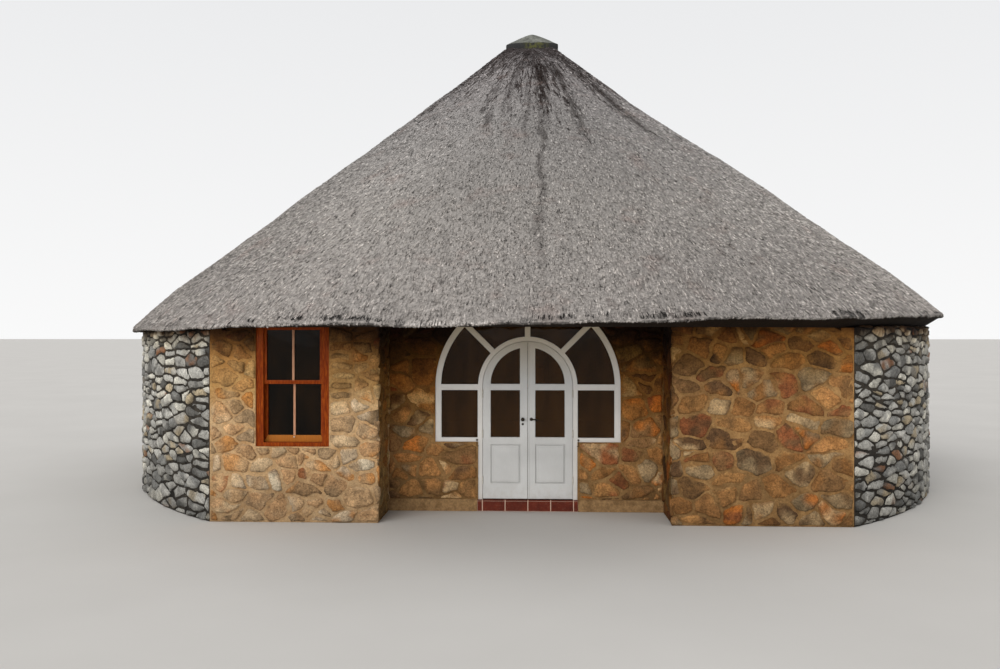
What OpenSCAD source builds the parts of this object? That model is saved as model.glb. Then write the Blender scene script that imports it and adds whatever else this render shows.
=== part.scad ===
// Rondavel hut: a round stone house with a flat front, a recessed porch and a conical thatched roof.
// Origin on the ground under the ridge cap, +Z up, the entrance faces -Y, millimetres.

/* [Walls] */
// Outer radius of the round wall
wall_r = 6290; // [6000:10:6600]
// Thickness of the round wall
wall_t = 400; // [320:10:460]
// Half width of the flat front, from the roof axis to the corner where the round wall starts
front_half = 3816; // [3600:4:4000]
// Open joint between neighbouring segments of the walls
wall_joint = 1; // [0.5:0.5:3]
// Thickness of the flat front walls
front_t = 400; // [320:10:460]

/* [Porch] */
// Depth of the porch recess, from the flat front to the wall with the entrance
porch_depth = 750; // [550:10:950]
// Distance of the porch's left side from the roof axis
porch_left = 1780; // [1600:5:1950]
// Distance of the porch's right side from the roof axis
porch_right = 1715; // [1600:5:1950]
// Thickness of the porch's side and back walls
porch_t = 350; // [300:10:420]
// Height of the plaster strip at the foot of the porch's back wall
plinth_h = 150; // [80:5:220]
// How far the plaster strip stands proud of the wall
plinth_proud = 18; // [8:1:30]

/* [Floor and step] */
// Height of the inner floor above the ground
floor_z = 145; // [100:5:200]
// How far the tiled face of the entrance step reaches beyond the door frame
step_side = 9; // [3:1:60]
// How far the tiled face stands proud of the wall
step_proud = 22; // [10:1:60]

/* [Entrance arch] */
// Height of the springing line of both arches
spring_z = 1590; // [1480:5:1640]
// Outer radius of the big arch frame
arch_r = 1180; // [1100:5:1220]
// Face width of the big arch frame
arch_w = 73; // [55:1:90]
// Depth of the big arch frame
arch_d = 90; // [70:5:120]
// How far the joinery lies behind the wall's face
joinery_back = 15; // [0:1:40]
// Height of the top of the dado under the side lights
dado_z = 880; // [800:5:950]
// Height of the bottom rail under the side lights
sill_rail = 50; // [40:1:80]
// Face width of the bars between the lights
bar_w = 70; // [50:1:80]
// Depth of the bars between the lights
bar_d = 60; // [44:1:80]
// Drop of the cross bars' centre below the springing line
bar_drop = 10; // [0:1:20]
// Thickness of the glass in the lights
glass_t = 6; // [4:1:10]

/* [Door] */
// Outer radius and half width of the door frame
frame_r = 633; // [600:1:660]
// Face width of the door frame
frame_w = 57; // [45:1:65]
// Depth of the door frame
frame_d = 105; // [95:1:130]
// How far the door stop covers the gap behind the leaves
stop_w = 16; // [12:1:22]
// Thickness of a door leaf
leaf_t = 44; // [38:1:50]
// Gap between the leaves, and between leaf and frame
leaf_gap = 5; // [5:0.5:7]
// Gap under the leaves
leaf_under = 12; // [8:1:20]
// Width of the stiles that meet in the middle
stile_meet = 90; // [80:1:110]
// Bevel of the meeting edges towards the room, so that a leaf can pass the other one
lead_bevel = 3; // [3:0.5:5]
// Width of the stiles on the hinge side
stile_hinge = 94; // [85:1:120]
// Rise of the upper light's arc over the springing line
light_rise = 25; // [0:1:30]
// Height of the top of the bottom rail above the floor
bottom_rail = 205; // [160:5:260]
// Height of the top of the moulded panel above the floor
panel_top = 708; // [600:4:720]
// Height of the rail between the panel and the lower light
mid_rail = 82; // [60:1:100]
// Depth of the sinking round the moulded panel
panel_sink = 12; // [6:1:14]
// Margin of the raised field on the moulded panel
panel_margin = 42; // [25:1:55]
// Flat channel round the foot of the raised field's bevel
panel_flat = 12; // [6:1:20]
// Radius of the cover bead on the right leaf, beside the meeting line
bead_r = 6; // [4:0.5:8]

/* [Door fittings] */
// Height of the handles above the floor
handle_z = 1025; // [950:5:1100]
// Distance of the lever's axis from the middle of the doorway
lever_x = 48; // [38:1:70]
// Distance of the knob's axis from the middle of the doorway
knob_x = 62; // [45:1:70]
// Radius of the roses
rose_r = 21; // [15:1:26]
// Length of the lever
lever_l = 88; // [60:1:110]
// Radius of a hinge knuckle
knuckle_r = 7; // [6:0.5:9]
// Height of a hinge
hinge_h = 100; // [80:5:120]
// Height of the lowest hinge's middle above the floor
hinge_low = 250; // [200:5:320]
// Height of the highest hinge's middle above the floor
hinge_high = 1350; // [1200:5:1380]
// Length of the hold-back hook
hook_l = 70; // [50:5:100]

/* [Windows] */
// Width of a window over its outer frame
win_w = 890; // [760:10:980]
// Height of the windows' lower edge above the ground
win_z = 905; // [800:5:1000]
// Height of the front window over its outer frame
win_h_front = 1510; // [1300:5:1550]
// Height of the other windows over their outer frames
win_h_side = 1050; // [900:5:1100]
// Distance of the front window's middle from the middle of its wall, towards the corner
win_shift = 17; // [-80:1:80]
// Width of the outer lining
lining_w = 90; // [60:1:110]
// Thickness of the outer lining
lining_t = 26; // [18:1:34]
// Height of the window sill
sill_h = 48; // [36:1:60]
// Thickness of a sash
sash_t = 40; // [32:1:46]
// Parting bead between the two sashes
parting = 14; // [10:1:20]
// Width of the sash stiles
sash_stile = 52; // [44:1:60]
// Part of each stile that the lining covers
stile_hidden = 20; // [10:1:26]
// Height of the meeting rails
meet_rail = 46; // [34:1:50]
// Height of the lower sash's bottom rail
sash_bottom = 80; // [60:1:95]
// Width of the upright glazing bar
win_bar = 26; // [18:1:32]

/* [Roof] */
// How far the eave reaches beyond the round wall
eave_over = 210; // [160:10:400]
// Height of the eave's lower edge
eave_z = 2330; // [2300:5:2420]
// Slope of the roof in degrees
pitch = 38.46; // [37:0.02:41]
// Thickness of the thatch, square to the slope
thatch_t = 260; // [220:5:300]
// Width of the level cut under the eave
eave_cut = 300; // [220:10:340]
// How far the coat sinks below a straight cone in its upper half
hollow = 40; // [0:5:80]
// Width of the strip over the eave that is dressed steeper
dressed_w = 600; // [450:10:800]
// Height of the eave's upright lip
lip_h = 30; // [15:5:60]
// Distance of the front poles' tails behind the eave
tail_back = 650; // [450:10:800]
// Diameter of the rafter poles
rafter_d = 100; // [80:5:120]
// Number of rafter poles
rafter_count = 40; // [32:4:44]
// Diameter of the laths that carry the thatch
lath_d = 30; // [22:1:36]
// Spacing of the laths along the slope
lath_pitch = 280; // [240:10:330]

/* [Ridge cap] */
// Half length of the cement cap, along the short ridge
cap_half = 455; // [400:5:520]
// Half depth of the cap, from front to back
cap_depth = 150; // [120:5:200]
// How far the cap's ends reach beyond the thatch they sit on
cap_over = 37; // [20:1:60]
// Height of the cap's upright band
cap_band = 105; // [80:5:150]
// Height of the cap's cone above its band
cap_cone = 209; // [160:1:260]
// Slope in degrees of the thatch in front of the cap and behind it
ridge_a = 31.8; // [28:0.1:36]

/* [Hidden] */
$fn = 256;

// Small gap left where a round pole lies against another curved face
seat = 0.5;
// Overshoot of a cut beyond the faces it passes
over = 20;

// Segments of the round wall, one for each of its names in the list above
arc_count = 7;

// Plan: the round wall ends where the flat front meets it
wall_in = wall_r - wall_t;
front_y = round(sqrt(wall_r * wall_r - front_half * front_half));
corner_x = sqrt(wall_r * wall_r - front_y * front_y);
corner_a = atan2(-front_y, corner_x);
arc_a = (180 - 2 * corner_a) / arc_count;
joint_a = asin(wall_joint / wall_r);
front_in = front_y - front_t;
bay_in_x = corner_x * front_in / front_y;
recess_y = front_y - porch_depth;
recess_in = recess_y - porch_t;

// Roof: heights of its surfaces over the radius
eave_r = wall_r + eave_over;
cut_r = eave_r - eave_cut;
rise = tan(pitch);
function soffit(r) = eave_z + (cut_r - r) * rise;
function outside(r) = soffit(r) + thatch_t / cos(pitch);
lath_room = lath_d + 2 * seat;
function pole_top(r) = soffit(r) - lath_room / cos(pitch);
function pole_axis(r) = pole_top(r) - (rafter_d / 2 + seat) / cos(pitch);
boss_r = 200;
boss_h = 400;
long_head = boss_r + 0.4 * rafter_d;
short_head = 900;
tail_round = wall_r - 0.35 * wall_t;
tail_front = eave_r - tail_back;
// Angle either side of the front within which the poles rest on the flat front
front_span = corner_a + 90;
apex_z = soffit(0);
// Level top of the thatch under the cap, and flat top of the space inside it
ridge_r = cap_half - cap_over;
ridge_z = round(outside(ridge_r));
crown_r = boss_r + 30;
// Radius at which the hollow of the coat starts, and radius at which it is deepest
hollow_start_r = 3600;
hollow_r = 2000;

// Entrance: faces of the joinery, measured as y
join_y = -recess_y + joinery_back;
leaf_r = frame_r - frame_w - leaf_gap;
rebate_r = frame_r - frame_w;
stop_r = rebate_r - stop_w;
stop_y = join_y + leaf_t + leaf_gap;
light_r = leaf_r - stile_hinge;
leaf_low = floor_z + leaf_under;
hinge_x = leaf_r + leaf_gap / 2;
hinge_y = join_y - knuckle_r - seat;
bar_z = spring_z - bar_drop;
arch_in = arch_r - arch_w;
panel_low_z = floor_z + bottom_rail;
panel_top_z = floor_z + panel_top;
light_low_z = panel_top_z + mid_rail;
hinge_rise = 40;
hinge_mid = (hinge_low + hinge_high) / 2 + hinge_rise;
hinge_zs = [floor_z + hinge_low, floor_z + hinge_mid, floor_z + hinge_high];
step_half = frame_r + step_side;

// Windows: depths behind the lining's face
win_x = round((porch_left + corner_x) / 2) + win_shift;
win_back = 20;
upper_y = lining_t;
lower_y = lining_t + sash_t + parting;
sash_play = 2;
channel_y = lower_y + sash_t + sash_play;
back_lining = 18;
frame_depth = channel_y + back_lining;
head_t = 30;
// Part of the upper sash's top rail that shows under the lining
head_show = 20;
// Share of the sashes' height at which the meeting rails start
meet_share = 0.49;
clear_w = win_w - 2 * lining_w;
sash_w = clear_w + 2 * stile_hidden;
bulge = wall_r - sqrt(wall_r * wall_r - win_w * win_w / 4);
round_face = wall_r - bulge - win_back;
side_angles = [corner_a + 1.5 * arc_a, 90, 180 - corner_a - 1.5 * arc_a];

stone_ochre = "#b08a58";
stone_grey = "#a2a19a";
plaster = "#c0a070";
paint_white = "#cfd0ce";
varnish = "#a5480f";
pole_wood = "#7a5a38";

// Extrudes a drawing made in x and z from the face y towards the room by depth
module upright(y, depth) {
    translate([0, y + depth, 0]) rotate([90, 0, 0]) linear_extrude(depth) children();
}

// Box from a corner to the opposite one
module span(a, b) {
    translate(a) cube([b[0] - a[0], b[1] - a[1], b[2] - a[2]]);
}

// Half section of what lies over the walls: over the poles' top plane, and over the eave's level cut
module roof_side() {
    under_eave = eave_z - seat;
    polygon([[0, pole_top(0)], [cut_r, pole_top(cut_r)], [cut_r, under_eave],
        [2 * eave_r, under_eave], [2 * eave_r, 2 * apex_z], [0, 2 * apex_z]]);
}

// Rafter poles by number, counted from the front
function pole_turn(i) = i * 360 / rafter_count;
function pole_phi(i) = pole_turn(i) - 90;
function from_front(i) = min(pole_turn(i), 360 - pole_turn(i));
function tail_r(i) = from_front(i) < front_span ? tail_front : tail_round;

module pole(i, head) {
    rotate([0, 0, pole_phi(i)]) translate([tail_r(i), 0, pole_axis(tail_r(i))])
        rotate([0, pitch - 90, 0]) cylinder(h = (tail_r(i) - head) / cos(pitch), d = rafter_d, $fn = 32);
}

notch_side = 2;
notch_end = 10;

// Notch in a wall's head for one pole, open at the top
module pole_notch(i) {
    w = rafter_d + 2 * notch_side;
    deep = rafter_d / 2 + seat;
    high = 2 * deep + 2 * lath_room;
    rotate([0, 0, pole_phi(i)]) translate([tail_r(i), 0, pole_axis(tail_r(i))])
        rotate([0, pitch - 90, 0]) translate([-deep, -w / 2, -notch_end])
            cube([high, w, notch_end + tail_r(i) / cos(pitch)]);
}

// Segment of the round wall, from angle a to angle a + arc_a, with notches for the poles it carries
module wall_arc(a) {
    difference() {
        rotate([0, 0, a + joint_a / 2]) rotate_extrude(angle = arc_a - joint_a) difference() {
            translate([wall_in, 0]) square([wall_t, apex_z]);
            roof_side();
        }
        for (i = [0 : rafter_count - 1])
            let (phi = pole_phi(i))
                if (phi > a - 1.5 && phi < a + arc_a + 1.5) pole_notch(i);
    }
}

// The hole of a window in a wall whose outer face is at y = -face
module window_hole(face, depth, height) {
    span([-win_w / 2, -face - over, win_z], [win_w / 2, -face + depth + over, win_z + height]);
}

module wall_arc_window(a) {
    difference() {
        wall_arc(a);
        rotate([0, 0, a + arc_a / 2 + 90]) window_hole(wall_r, wall_t + 2 * bulge, win_h_side);
    }
}

module floor_slab() color("#9a9186") difference() {
    cylinder(h = floor_z, r = wall_in - seat);
    span([-2 * wall_r, -2 * wall_r, -over], [2 * wall_r, -front_in, floor_z + over]);
    span([-porch_left - porch_t, -wall_r, -over], [porch_right + porch_t, -recess_in, floor_z + over]);
}

module entrance_step() color("#6b2a22") union() {
    span([-step_half, -recess_y - step_proud, 0], [step_half, -recess_y, floor_z]);
    span([-frame_r, -recess_y, 0], [frame_r, -recess_in, floor_z]);
}

module wall_right_front() color(stone_grey) wall_arc(corner_a);
module wall_right_window() color(stone_grey) wall_arc_window(corner_a + arc_a);
module wall_right_rear() color(stone_grey) wall_arc(corner_a + 2 * arc_a);
module wall_rear_window() color(stone_grey) wall_arc_window(corner_a + 3 * arc_a);
module wall_left_rear() color(stone_grey) wall_arc(corner_a + 4 * arc_a);
module wall_left_window() color(stone_grey) wall_arc_window(corner_a + 5 * arc_a);
module wall_left_front() color(stone_grey) wall_arc(corner_a + 6 * arc_a);

// Cuts the head of a front wall to the slope of the roof and notches it for the poles
module front_head() {
    difference() {
        children();
        rotate_extrude() roof_side();
        for (i = [0 : rafter_count - 1]) if (from_front(i) < front_span) pole_notch(i);
    }
}

// Flat front wall on one side, from the porch at near to the round wall's end
module bay(near) {
    front_head() linear_extrude(apex_z)
        polygon([[near, -front_y], [corner_x, -front_y], [bay_in_x, -front_in], [near, -front_in]]);
}

module front_wall_left() color(stone_ochre) difference() {
    mirror([1, 0, 0]) bay(porch_left);
    translate([-win_x, 0, 0]) window_hole(front_y, front_t, win_h_front);
}

module front_wall_right() color(stone_ochre) bay(porch_right);

// Side wall of the porch, whose inner face is at x = near
module cheek(near) {
    front_head() span([near, -front_in, 0], [near + porch_t, -recess_in, apex_z]);
}

module porch_cheek_left() color(stone_ochre) mirror([1, 0, 0]) cheek(porch_left);
module porch_cheek_right() color(stone_ochre) cheek(porch_right);

// Back wall of the porch beside the entrance, with the dado under the side light
module porch_wall_side(near) {
    span([frame_r, -recess_y, 0], [near, -recess_in, dado_z]);
    span([arch_r, -recess_y, dado_z], [near, -recess_in, spring_z]);
}

module porch_wall_left() color(stone_ochre) mirror([1, 0, 0]) union() porch_wall_side(porch_left);
module porch_wall_right() color(stone_ochre) union() porch_wall_side(porch_right);

module porch_wall_arch() color(stone_ochre) difference() {
    front_head() span([-porch_left, -recess_y, spring_z], [porch_right, -recess_in, apex_z]);
    upright(-recess_y - over, porch_t + 2 * over) translate([0, spring_z]) circle(r = arch_r);
}

module plinth_strip() color(plaster) {
    span([step_half, -recess_y - plinth_proud, 0], [porch_right, -recess_y, plinth_h]);
    span([-porch_left, -recess_y - plinth_proud, 0], [-step_half, -recess_y, plinth_h]);
}

// Outline of an arched opening with radius r over the springing line and straight sides down to z
module arched(r, z) {
    translate([0, spring_z]) intersection() {
        circle(r = r);
        translate([-r - 1, 0]) square([2 * r + 2, r + 1]);
    }
    translate([-r, z]) square([2 * r, spring_z - z]);
}

module arch_frame() color(paint_white) upright(join_y, arch_d) difference() {
    arched(arch_r, dado_z);
    arched(arch_in, dado_z + sill_rail);
    arched(frame_r, dado_z - over);
}

// The bars between the lights: two cross bars, one upright and two slanting ones
module bar_shapes() {
    translate([-arch_r, bar_z - bar_w / 2]) square([2 * arch_r, bar_w]);
    translate([0, spring_z]) for (a = [-45, 0, 45]) rotate(a)
        translate([-bar_w / 2, 0]) square([bar_w, arch_r]);
}

module light_field() {
    difference() {
        arched(arch_in, dado_z + sill_rail);
        arched(frame_r, dado_z);
    }
}

module arch_bars() color(paint_white) upright(join_y, bar_d) intersection() {
    bar_shapes();
    light_field();
}

module arch_glass() color([0.6, 0.7, 0.75, 0.35]) upright(join_y + bar_d / 2 - glass_t / 2, glass_t)
    difference() {
        light_field();
        bar_shapes();
    }

module door_frame() color(paint_white) difference() {
    upright(join_y, frame_d) arched(frame_r, floor_z);
    upright(join_y - over, stop_y - join_y + over) arched(rebate_r, floor_z - over);
    upright(stop_y - 1, frame_d) arched(stop_r, floor_z - over);
}

// Outline of the right leaf
module leaf_outline() {
    intersection() {
        arched(leaf_r, leaf_low);
        translate([leaf_gap / 2, 0]) square([leaf_r, 2 * spring_z]);
    }
}

// The upper and the lower light of the right leaf
module leaf_lights() {
    x0 = leaf_gap / 2 + stile_meet;
    intersection() {
        translate([0, spring_z + light_rise]) circle(r = light_r);
        translate([x0, bar_z + bar_w / 2]) square([light_r - x0, 2 * light_r]);
    }
    translate([x0, light_low_z]) square([light_r - x0, bar_z - bar_w / 2 - light_low_z]);
}

module panel_outline(margin) {
    x0 = leaf_gap / 2 + stile_meet + margin;
    w = light_r - margin - x0;
    h = panel_top_z - panel_low_z - 2 * margin;
    translate([x0, panel_low_z + margin]) square([w, h]);
}

// Height of the square rim above and below the bevel
rim_t = 1;

// Sinking behind a face at y = 0: a flat channel round a field that is bevelled up to the face
module panel_sinking() {
    difference() {
        upright(-over, over + panel_sink) panel_outline(0);
        hull() {
            upright(-over, over + rim_t) panel_outline(panel_margin);
            upright(panel_sink - rim_t, over) panel_outline(panel_flat);
        }
    }
}

// What the bevelled meeting edge leaves open
module meeting_edge() {
    x0 = leaf_gap / 2;
    x1 = x0 + lead_bevel;
    back_y = join_y + leaf_t;
    linear_extrude(3 * spring_z)
        polygon([[x0, join_y], [x1, back_y], [x1, back_y + over], [-over, back_y + over], [-over, join_y]]);
}

module leaf() {
    difference() {
        upright(join_y, leaf_t) leaf_outline();
        meeting_edge();
        upright(join_y - over, leaf_t + 2 * over) leaf_lights();
        translate([0, join_y, 0]) panel_sinking();
        translate([0, join_y + leaf_t, 0]) mirror([0, 1, 0]) panel_sinking();
    }
}

// Distance of the cover bead's middle from the meeting edge, and its distance from the leaf's ends
bead_back = 15;
bead_end = 14;

module cover_bead() {
    low = leaf_low + bead_end;
    high = spring_z + leaf_r - bead_end;
    translate([leaf_gap / 2 + bead_back, join_y, low]) cylinder(h = high - low, r = bead_r);
}

module door_leaf_right() color(paint_white) union() {
    leaf();
    cover_bead();
}

module door_leaf_left() color(paint_white) mirror([1, 0, 0]) leaf();

module leaf_glass() {
    upright(join_y + leaf_t / 2 - glass_t / 2, glass_t) leaf_lights();
}

module door_glass_right() color([0.6, 0.7, 0.75, 0.35]) leaf_glass();
module door_glass_left() color([0.6, 0.7, 0.75, 0.35]) mirror([1, 0, 0]) leaf_glass();

// Puts a fitting drawn along +Z on the leaves' outer face, and its mirror image on their inner face
module both_faces(x, z) {
    translate([x, join_y, z]) rotate([90, 0, 0]) children();
    translate([x, join_y + leaf_t, z]) mirror([0, 1, 0]) rotate([90, 0, 0]) children();
}

rose_t = 8;
neck_r = 8;
neck_l = 40;

module door_lever() color("#2e2a26") both_faces(lever_x, floor_z + handle_z) {
    cylinder(h = rose_t, r = rose_r);
    cylinder(h = neck_l + neck_r, r = neck_r);
    translate([0, 0, neck_l]) rotate([0, 90, 0]) cylinder(h = lever_l, r = neck_r);
    translate([lever_l, 0, neck_l]) sphere(r = neck_r);
}

knob_r = 24;
keyhole_drop = 62;

module door_knob() color("#2e2a26") {
    both_faces(-knob_x, floor_z + handle_z) {
        cylinder(h = rose_t, r = rose_r);
        cylinder(h = neck_l - knob_r / 2, r = neck_r);
        translate([0, 0, neck_l]) sphere(r = knob_r);
    }
    translate([-knob_x, join_y, floor_z + handle_z - keyhole_drop]) rotate([90, 0, 0])
        cylinder(h = rose_t / 2, r = 0.7 * rose_r);
}

pin_r = 3.5;
pin_room = 0.1;
flap_t = 1.6;
flap_w = 34;
knuckle_share = 0.34;

// The frame's half of a right-hand hinge whose middle is at height z
module hinge_outer(z) {
    part = hinge_h * (1 - knuckle_share) / 2 - 0.5;
    for (low = [z - hinge_h / 2, z + hinge_h / 2 - part]) {
        translate([hinge_x, hinge_y, low]) cylinder(h = part, r = knuckle_r);
        span([rebate_r - flap_t, hinge_y, low], [rebate_r, hinge_y + flap_w, low + part]);
    }
    translate([hinge_x, hinge_y, z - hinge_h / 2]) cylinder(h = hinge_h, r = pin_r);
}

// The leaf's half, which turns on the pin
module hinge_inner(z) {
    part = hinge_h * knuckle_share - 0.5;
    difference() {
        union() {
            translate([hinge_x, hinge_y, z - part / 2]) cylinder(h = part, r = knuckle_r);
            span([leaf_r, hinge_y, z - part / 2], [leaf_r + flap_t, hinge_y + flap_w, z + part / 2]);
        }
        translate([hinge_x, hinge_y, z - part]) cylinder(h = 2 * part, r = pin_r + pin_room);
    }
}

module hinge_frame_halves() color("#8d8a80") for (side = [0, 1], z = hinge_zs)
    mirror([side, 0, 0]) hinge_outer(z);

module hinge_leaf_right() color("#8d8a80") for (z = hinge_zs) hinge_inner(z);
module hinge_leaf_left() color("#8d8a80") mirror([1, 0, 0]) for (z = hinge_zs) hinge_inner(z);

hook_plate_r = 13;
hook_plate_t = 5;
hook_rod_r = 3.5;
hook_gap = 2;
hook_eye = joinery_back + hook_rod_r + hook_gap;
hook_bend = 9;
hook_z = dado_z + sill_rail / 2;
hook_x = frame_r + hook_plate_r;

// Hold-back hook on the side light's sill, hanging from its plate
module holdback_hook() {
    translate([hook_x, join_y, hook_z]) rotate([90, 0, 0]) {
        cylinder(h = hook_plate_t, r = hook_plate_r);
        cylinder(h = hook_eye + hook_rod_r, r = hook_rod_r);
        translate([0, 0, hook_eye]) rotate([90, 0, 0]) cylinder(h = hook_l, r = hook_rod_r);
        translate([-hook_bend, -hook_l, hook_eye]) rotate([0, 0, 180]) rotate_extrude(angle = 180)
            translate([hook_bend, 0]) circle(r = hook_rod_r, $fn = 24);
    }
}

module holdback_hooks() color("#3a3530") for (side = [0, 1]) mirror([side, 0, 0]) holdback_hook();

// Window frame drawn with its lining's face at y = 0: lining, sash channels and sill
module window_frame(height) {
    difference() {
        span([-win_w / 2, 0, 0], [win_w / 2, frame_depth, height]);
        span([-clear_w / 2, -over, sill_h], [clear_w / 2, frame_depth + over, height - lining_w]);
        span([-sash_w / 2, upper_y, sill_h], [sash_w / 2, channel_y, height - head_t]);
    }
}

// Height of the meeting rails' lower edge in a window
function meet_z(height) = sill_h + (height - sill_h - head_t) * meet_share;

// Sash from z0 to z1 with its two rails and the upright bar
module sash(y, z0, z1, low_rail, high_rail) {
    upright(y, sash_t) difference() {
        translate([-sash_w / 2, z0]) square([sash_w, z1 - z0]);
        sash_lights(z0 + low_rail, z1 - high_rail);
    }
}

module sash_lights(z0, z1) {
    half = sash_w / 2 - sash_stile;
    for (x = [-half, win_bar / 2]) translate([x, z0]) square([half - win_bar / 2, z1 - z0]);
}

module upper_sash(height) {
    sash(upper_y, meet_z(height), height - head_t, meet_rail, lining_w - head_t + head_show);
}

module lower_sash(height) {
    sash(lower_y, sill_h, meet_z(height) + meet_rail, sash_bottom, meet_rail);
}

module sash_glass(height) {
    upper_z = meet_z(height) + meet_rail;
    upright(upper_y + sash_t / 2, glass_t) sash_lights(upper_z, height - lining_w - head_show);
    upright(lower_y + sash_t / 2, glass_t) sash_lights(sill_h + sash_bottom, meet_z(height));
}

pull_r = 9;
pull_neck = 12;

module window_pull() {
    translate([0, lower_y, sill_h + 0.75 * sash_bottom]) rotate([90, 0, 0]) {
        cylinder(h = pull_neck, r = 0.6 * pull_r);
        translate([0, 0, pull_neck + 0.2 * pull_r]) sphere(r = pull_r);
    }
}

// Puts children in the front window's place
module at_front() {
    translate([-win_x, -front_y + win_back, win_z]) children();
}

// Puts children in the places of the windows of the round wall
module at_sides() {
    for (a = side_angles) rotate([0, 0, a + 90]) translate([0, -round_face, win_z]) children();
}

module window_frames() color(varnish) {
    at_front() window_frame(win_h_front);
    at_sides() window_frame(win_h_side);
}

module upper_sashes() color(varnish) {
    at_front() upper_sash(win_h_front);
    at_sides() upper_sash(win_h_side);
}

module lower_sashes() color(varnish) {
    at_front() lower_sash(win_h_front);
    at_sides() lower_sash(win_h_side);
}

module window_glass() color([0.6, 0.7, 0.75, 0.35]) {
    at_front() sash_glass(win_h_front);
    at_sides() sash_glass(win_h_side);
}

module window_pulls() color("#e8e6e0") {
    at_front() window_pull();
    at_sides() window_pull();
}

module rafters_long() color(pole_wood) for (i = [0 : 4 : rafter_count - 1]) pole(i, long_head);

module rafters_short() color(pole_wood) for (i = [0 : rafter_count - 1])
    if (i % 4 != 0) pole(i, short_head);

module king_boss() color(pole_wood) translate([0, 0, pole_top(boss_r) - boss_h - seat])
    cylinder(h = boss_h, r = boss_r);

// Radius of the lowest lath and the least radius of the highest one
lath_low_r = cut_r - 120;
lath_high_r = 600;
lath_count = floor((lath_low_r - lath_high_r) / (lath_pitch * cos(pitch)));

module laths() color(pole_wood) for (k = [0 : lath_count])
    let (r = lath_low_r - k * lath_pitch * cos(pitch))
        translate([0, 0, soffit(r) - (lath_d / 2 + seat) / cos(pitch)])
            rotate_extrude() translate([r, 0]) circle(d = lath_d, $fn = 8);

// Half section of the coat of thatch
module thatch_section() {
    polygon([[0, soffit(crown_r)], [crown_r, soffit(crown_r)], [cut_r, eave_z], [eave_r, eave_z],
        [eave_r, eave_z + lip_h], [eave_r - dressed_w, outside(eave_r - dressed_w)],
        [hollow_start_r, outside(hollow_start_r)], [hollow_r, outside(hollow_r) - hollow],
        [ridge_r, ridge_z], [0, ridge_z]]);
}

// What the two flatter slopes, in front of the cap and behind it, take off the cone
module ridge_cut() {
    for (turn = [0, 180]) rotate([0, 0, turn]) translate([0, cap_depth, ridge_z]) rotate([-ridge_a, 0, 0])
        span([-hollow_r, 0, 0], [hollow_r, hollow_r, cap_half]);
}

module thatch() color("#8f8a86") difference() {
    rotate_extrude() thatch_section();
    ridge_cut();
}

// Cap of cement over the short ridge: an upright band, straight in the middle and round at both ends,
// under a low hipped cone with a round tip
tip_r = 30;

module cap_outline() {
    straight = cap_half - cap_depth;
    translate([-straight, -cap_depth]) square([2 * straight, 2 * cap_depth]);
    for (x = [-straight, straight]) translate([x, 0]) circle(r = cap_depth, $fn = 96);
}

module ridge_cap() color("#8a8a86") translate([0, 0, ridge_z]) hull() {
    linear_extrude(cap_band) cap_outline();
    translate([0, 0, cap_band + cap_cone - tip_r]) sphere(r = tip_r, $fn = 32);
}

floor_slab();
entrance_step();
wall_right_front();
wall_right_window();
wall_right_rear();
wall_rear_window();
wall_left_rear();
wall_left_window();
wall_left_front();
front_wall_left();
front_wall_right();
porch_cheek_left();
porch_cheek_right();
porch_wall_left();
porch_wall_right();
porch_wall_arch();
plinth_strip();
arch_frame();
arch_bars();
arch_glass();
door_frame();
door_leaf_left();
door_leaf_right();
door_glass_left();
door_glass_right();
door_knob();
door_lever();
hinge_frame_halves();
hinge_leaf_left();
hinge_leaf_right();
holdback_hooks();
window_frames();
upper_sashes();
lower_sashes();
window_glass();
window_pulls();
rafters_long();
rafters_short();
king_boss();
laths();
thatch();
ridge_cap();
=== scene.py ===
"""Looks of a thatched stone rondavel: rubble, thatch, joinery, cement cap, light and camera."""
import math
import random
from collections import namedtuple

import bmesh
import bpy
import numpy as np
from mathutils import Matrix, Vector
from mathutils.geometry import delaunay_2d_cdt


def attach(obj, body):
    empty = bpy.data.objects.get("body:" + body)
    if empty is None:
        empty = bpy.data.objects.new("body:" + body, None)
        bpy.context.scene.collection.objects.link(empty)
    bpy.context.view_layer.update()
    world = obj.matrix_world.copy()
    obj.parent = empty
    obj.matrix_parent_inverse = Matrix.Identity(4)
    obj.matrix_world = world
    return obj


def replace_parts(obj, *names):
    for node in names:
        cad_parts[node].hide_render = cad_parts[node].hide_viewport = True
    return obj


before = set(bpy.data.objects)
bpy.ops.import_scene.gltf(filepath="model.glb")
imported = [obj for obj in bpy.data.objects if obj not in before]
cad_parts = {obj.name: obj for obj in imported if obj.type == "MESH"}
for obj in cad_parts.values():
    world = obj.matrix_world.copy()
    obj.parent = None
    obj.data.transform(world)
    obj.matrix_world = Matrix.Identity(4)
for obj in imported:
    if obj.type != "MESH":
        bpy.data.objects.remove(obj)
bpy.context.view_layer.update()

# Walls, in metres
WALL_R = 6.29
FRONT_Y = -5.0
CORNER_X = math.sqrt(WALL_R ** 2 - FRONT_Y ** 2)
PORCH_LEFT = -1.78
PORCH_RIGHT = 1.715
RECESS_Y = -4.25
WALL_T = 0.4
PORCH_T = 0.35
FLOOR_Z = 0.145
PLINTH_H = 0.15

# Entrance
SPRING_Z = 1.59
ARCH_R = 1.18
ARCH_W = 0.073
DADO_Z = 0.88
SILL_RAIL = 0.05
DOOR_R = 0.633
BAR_W = 0.07
BAR_Z = 1.58
JOIN_Y = -4.235
LEAF_T = 0.044
LEAF_R = 0.571
LIGHT_R = 0.477
LIGHT_RISE = 0.025
STILE_X = 0.0925
LIGHT_LOW_Z = 0.935
PANEL_LOW_Z = 0.35
PANEL_TOP_Z = 0.853
STEP_HALF = 0.642
STEP_PROUD = 0.022

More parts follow.
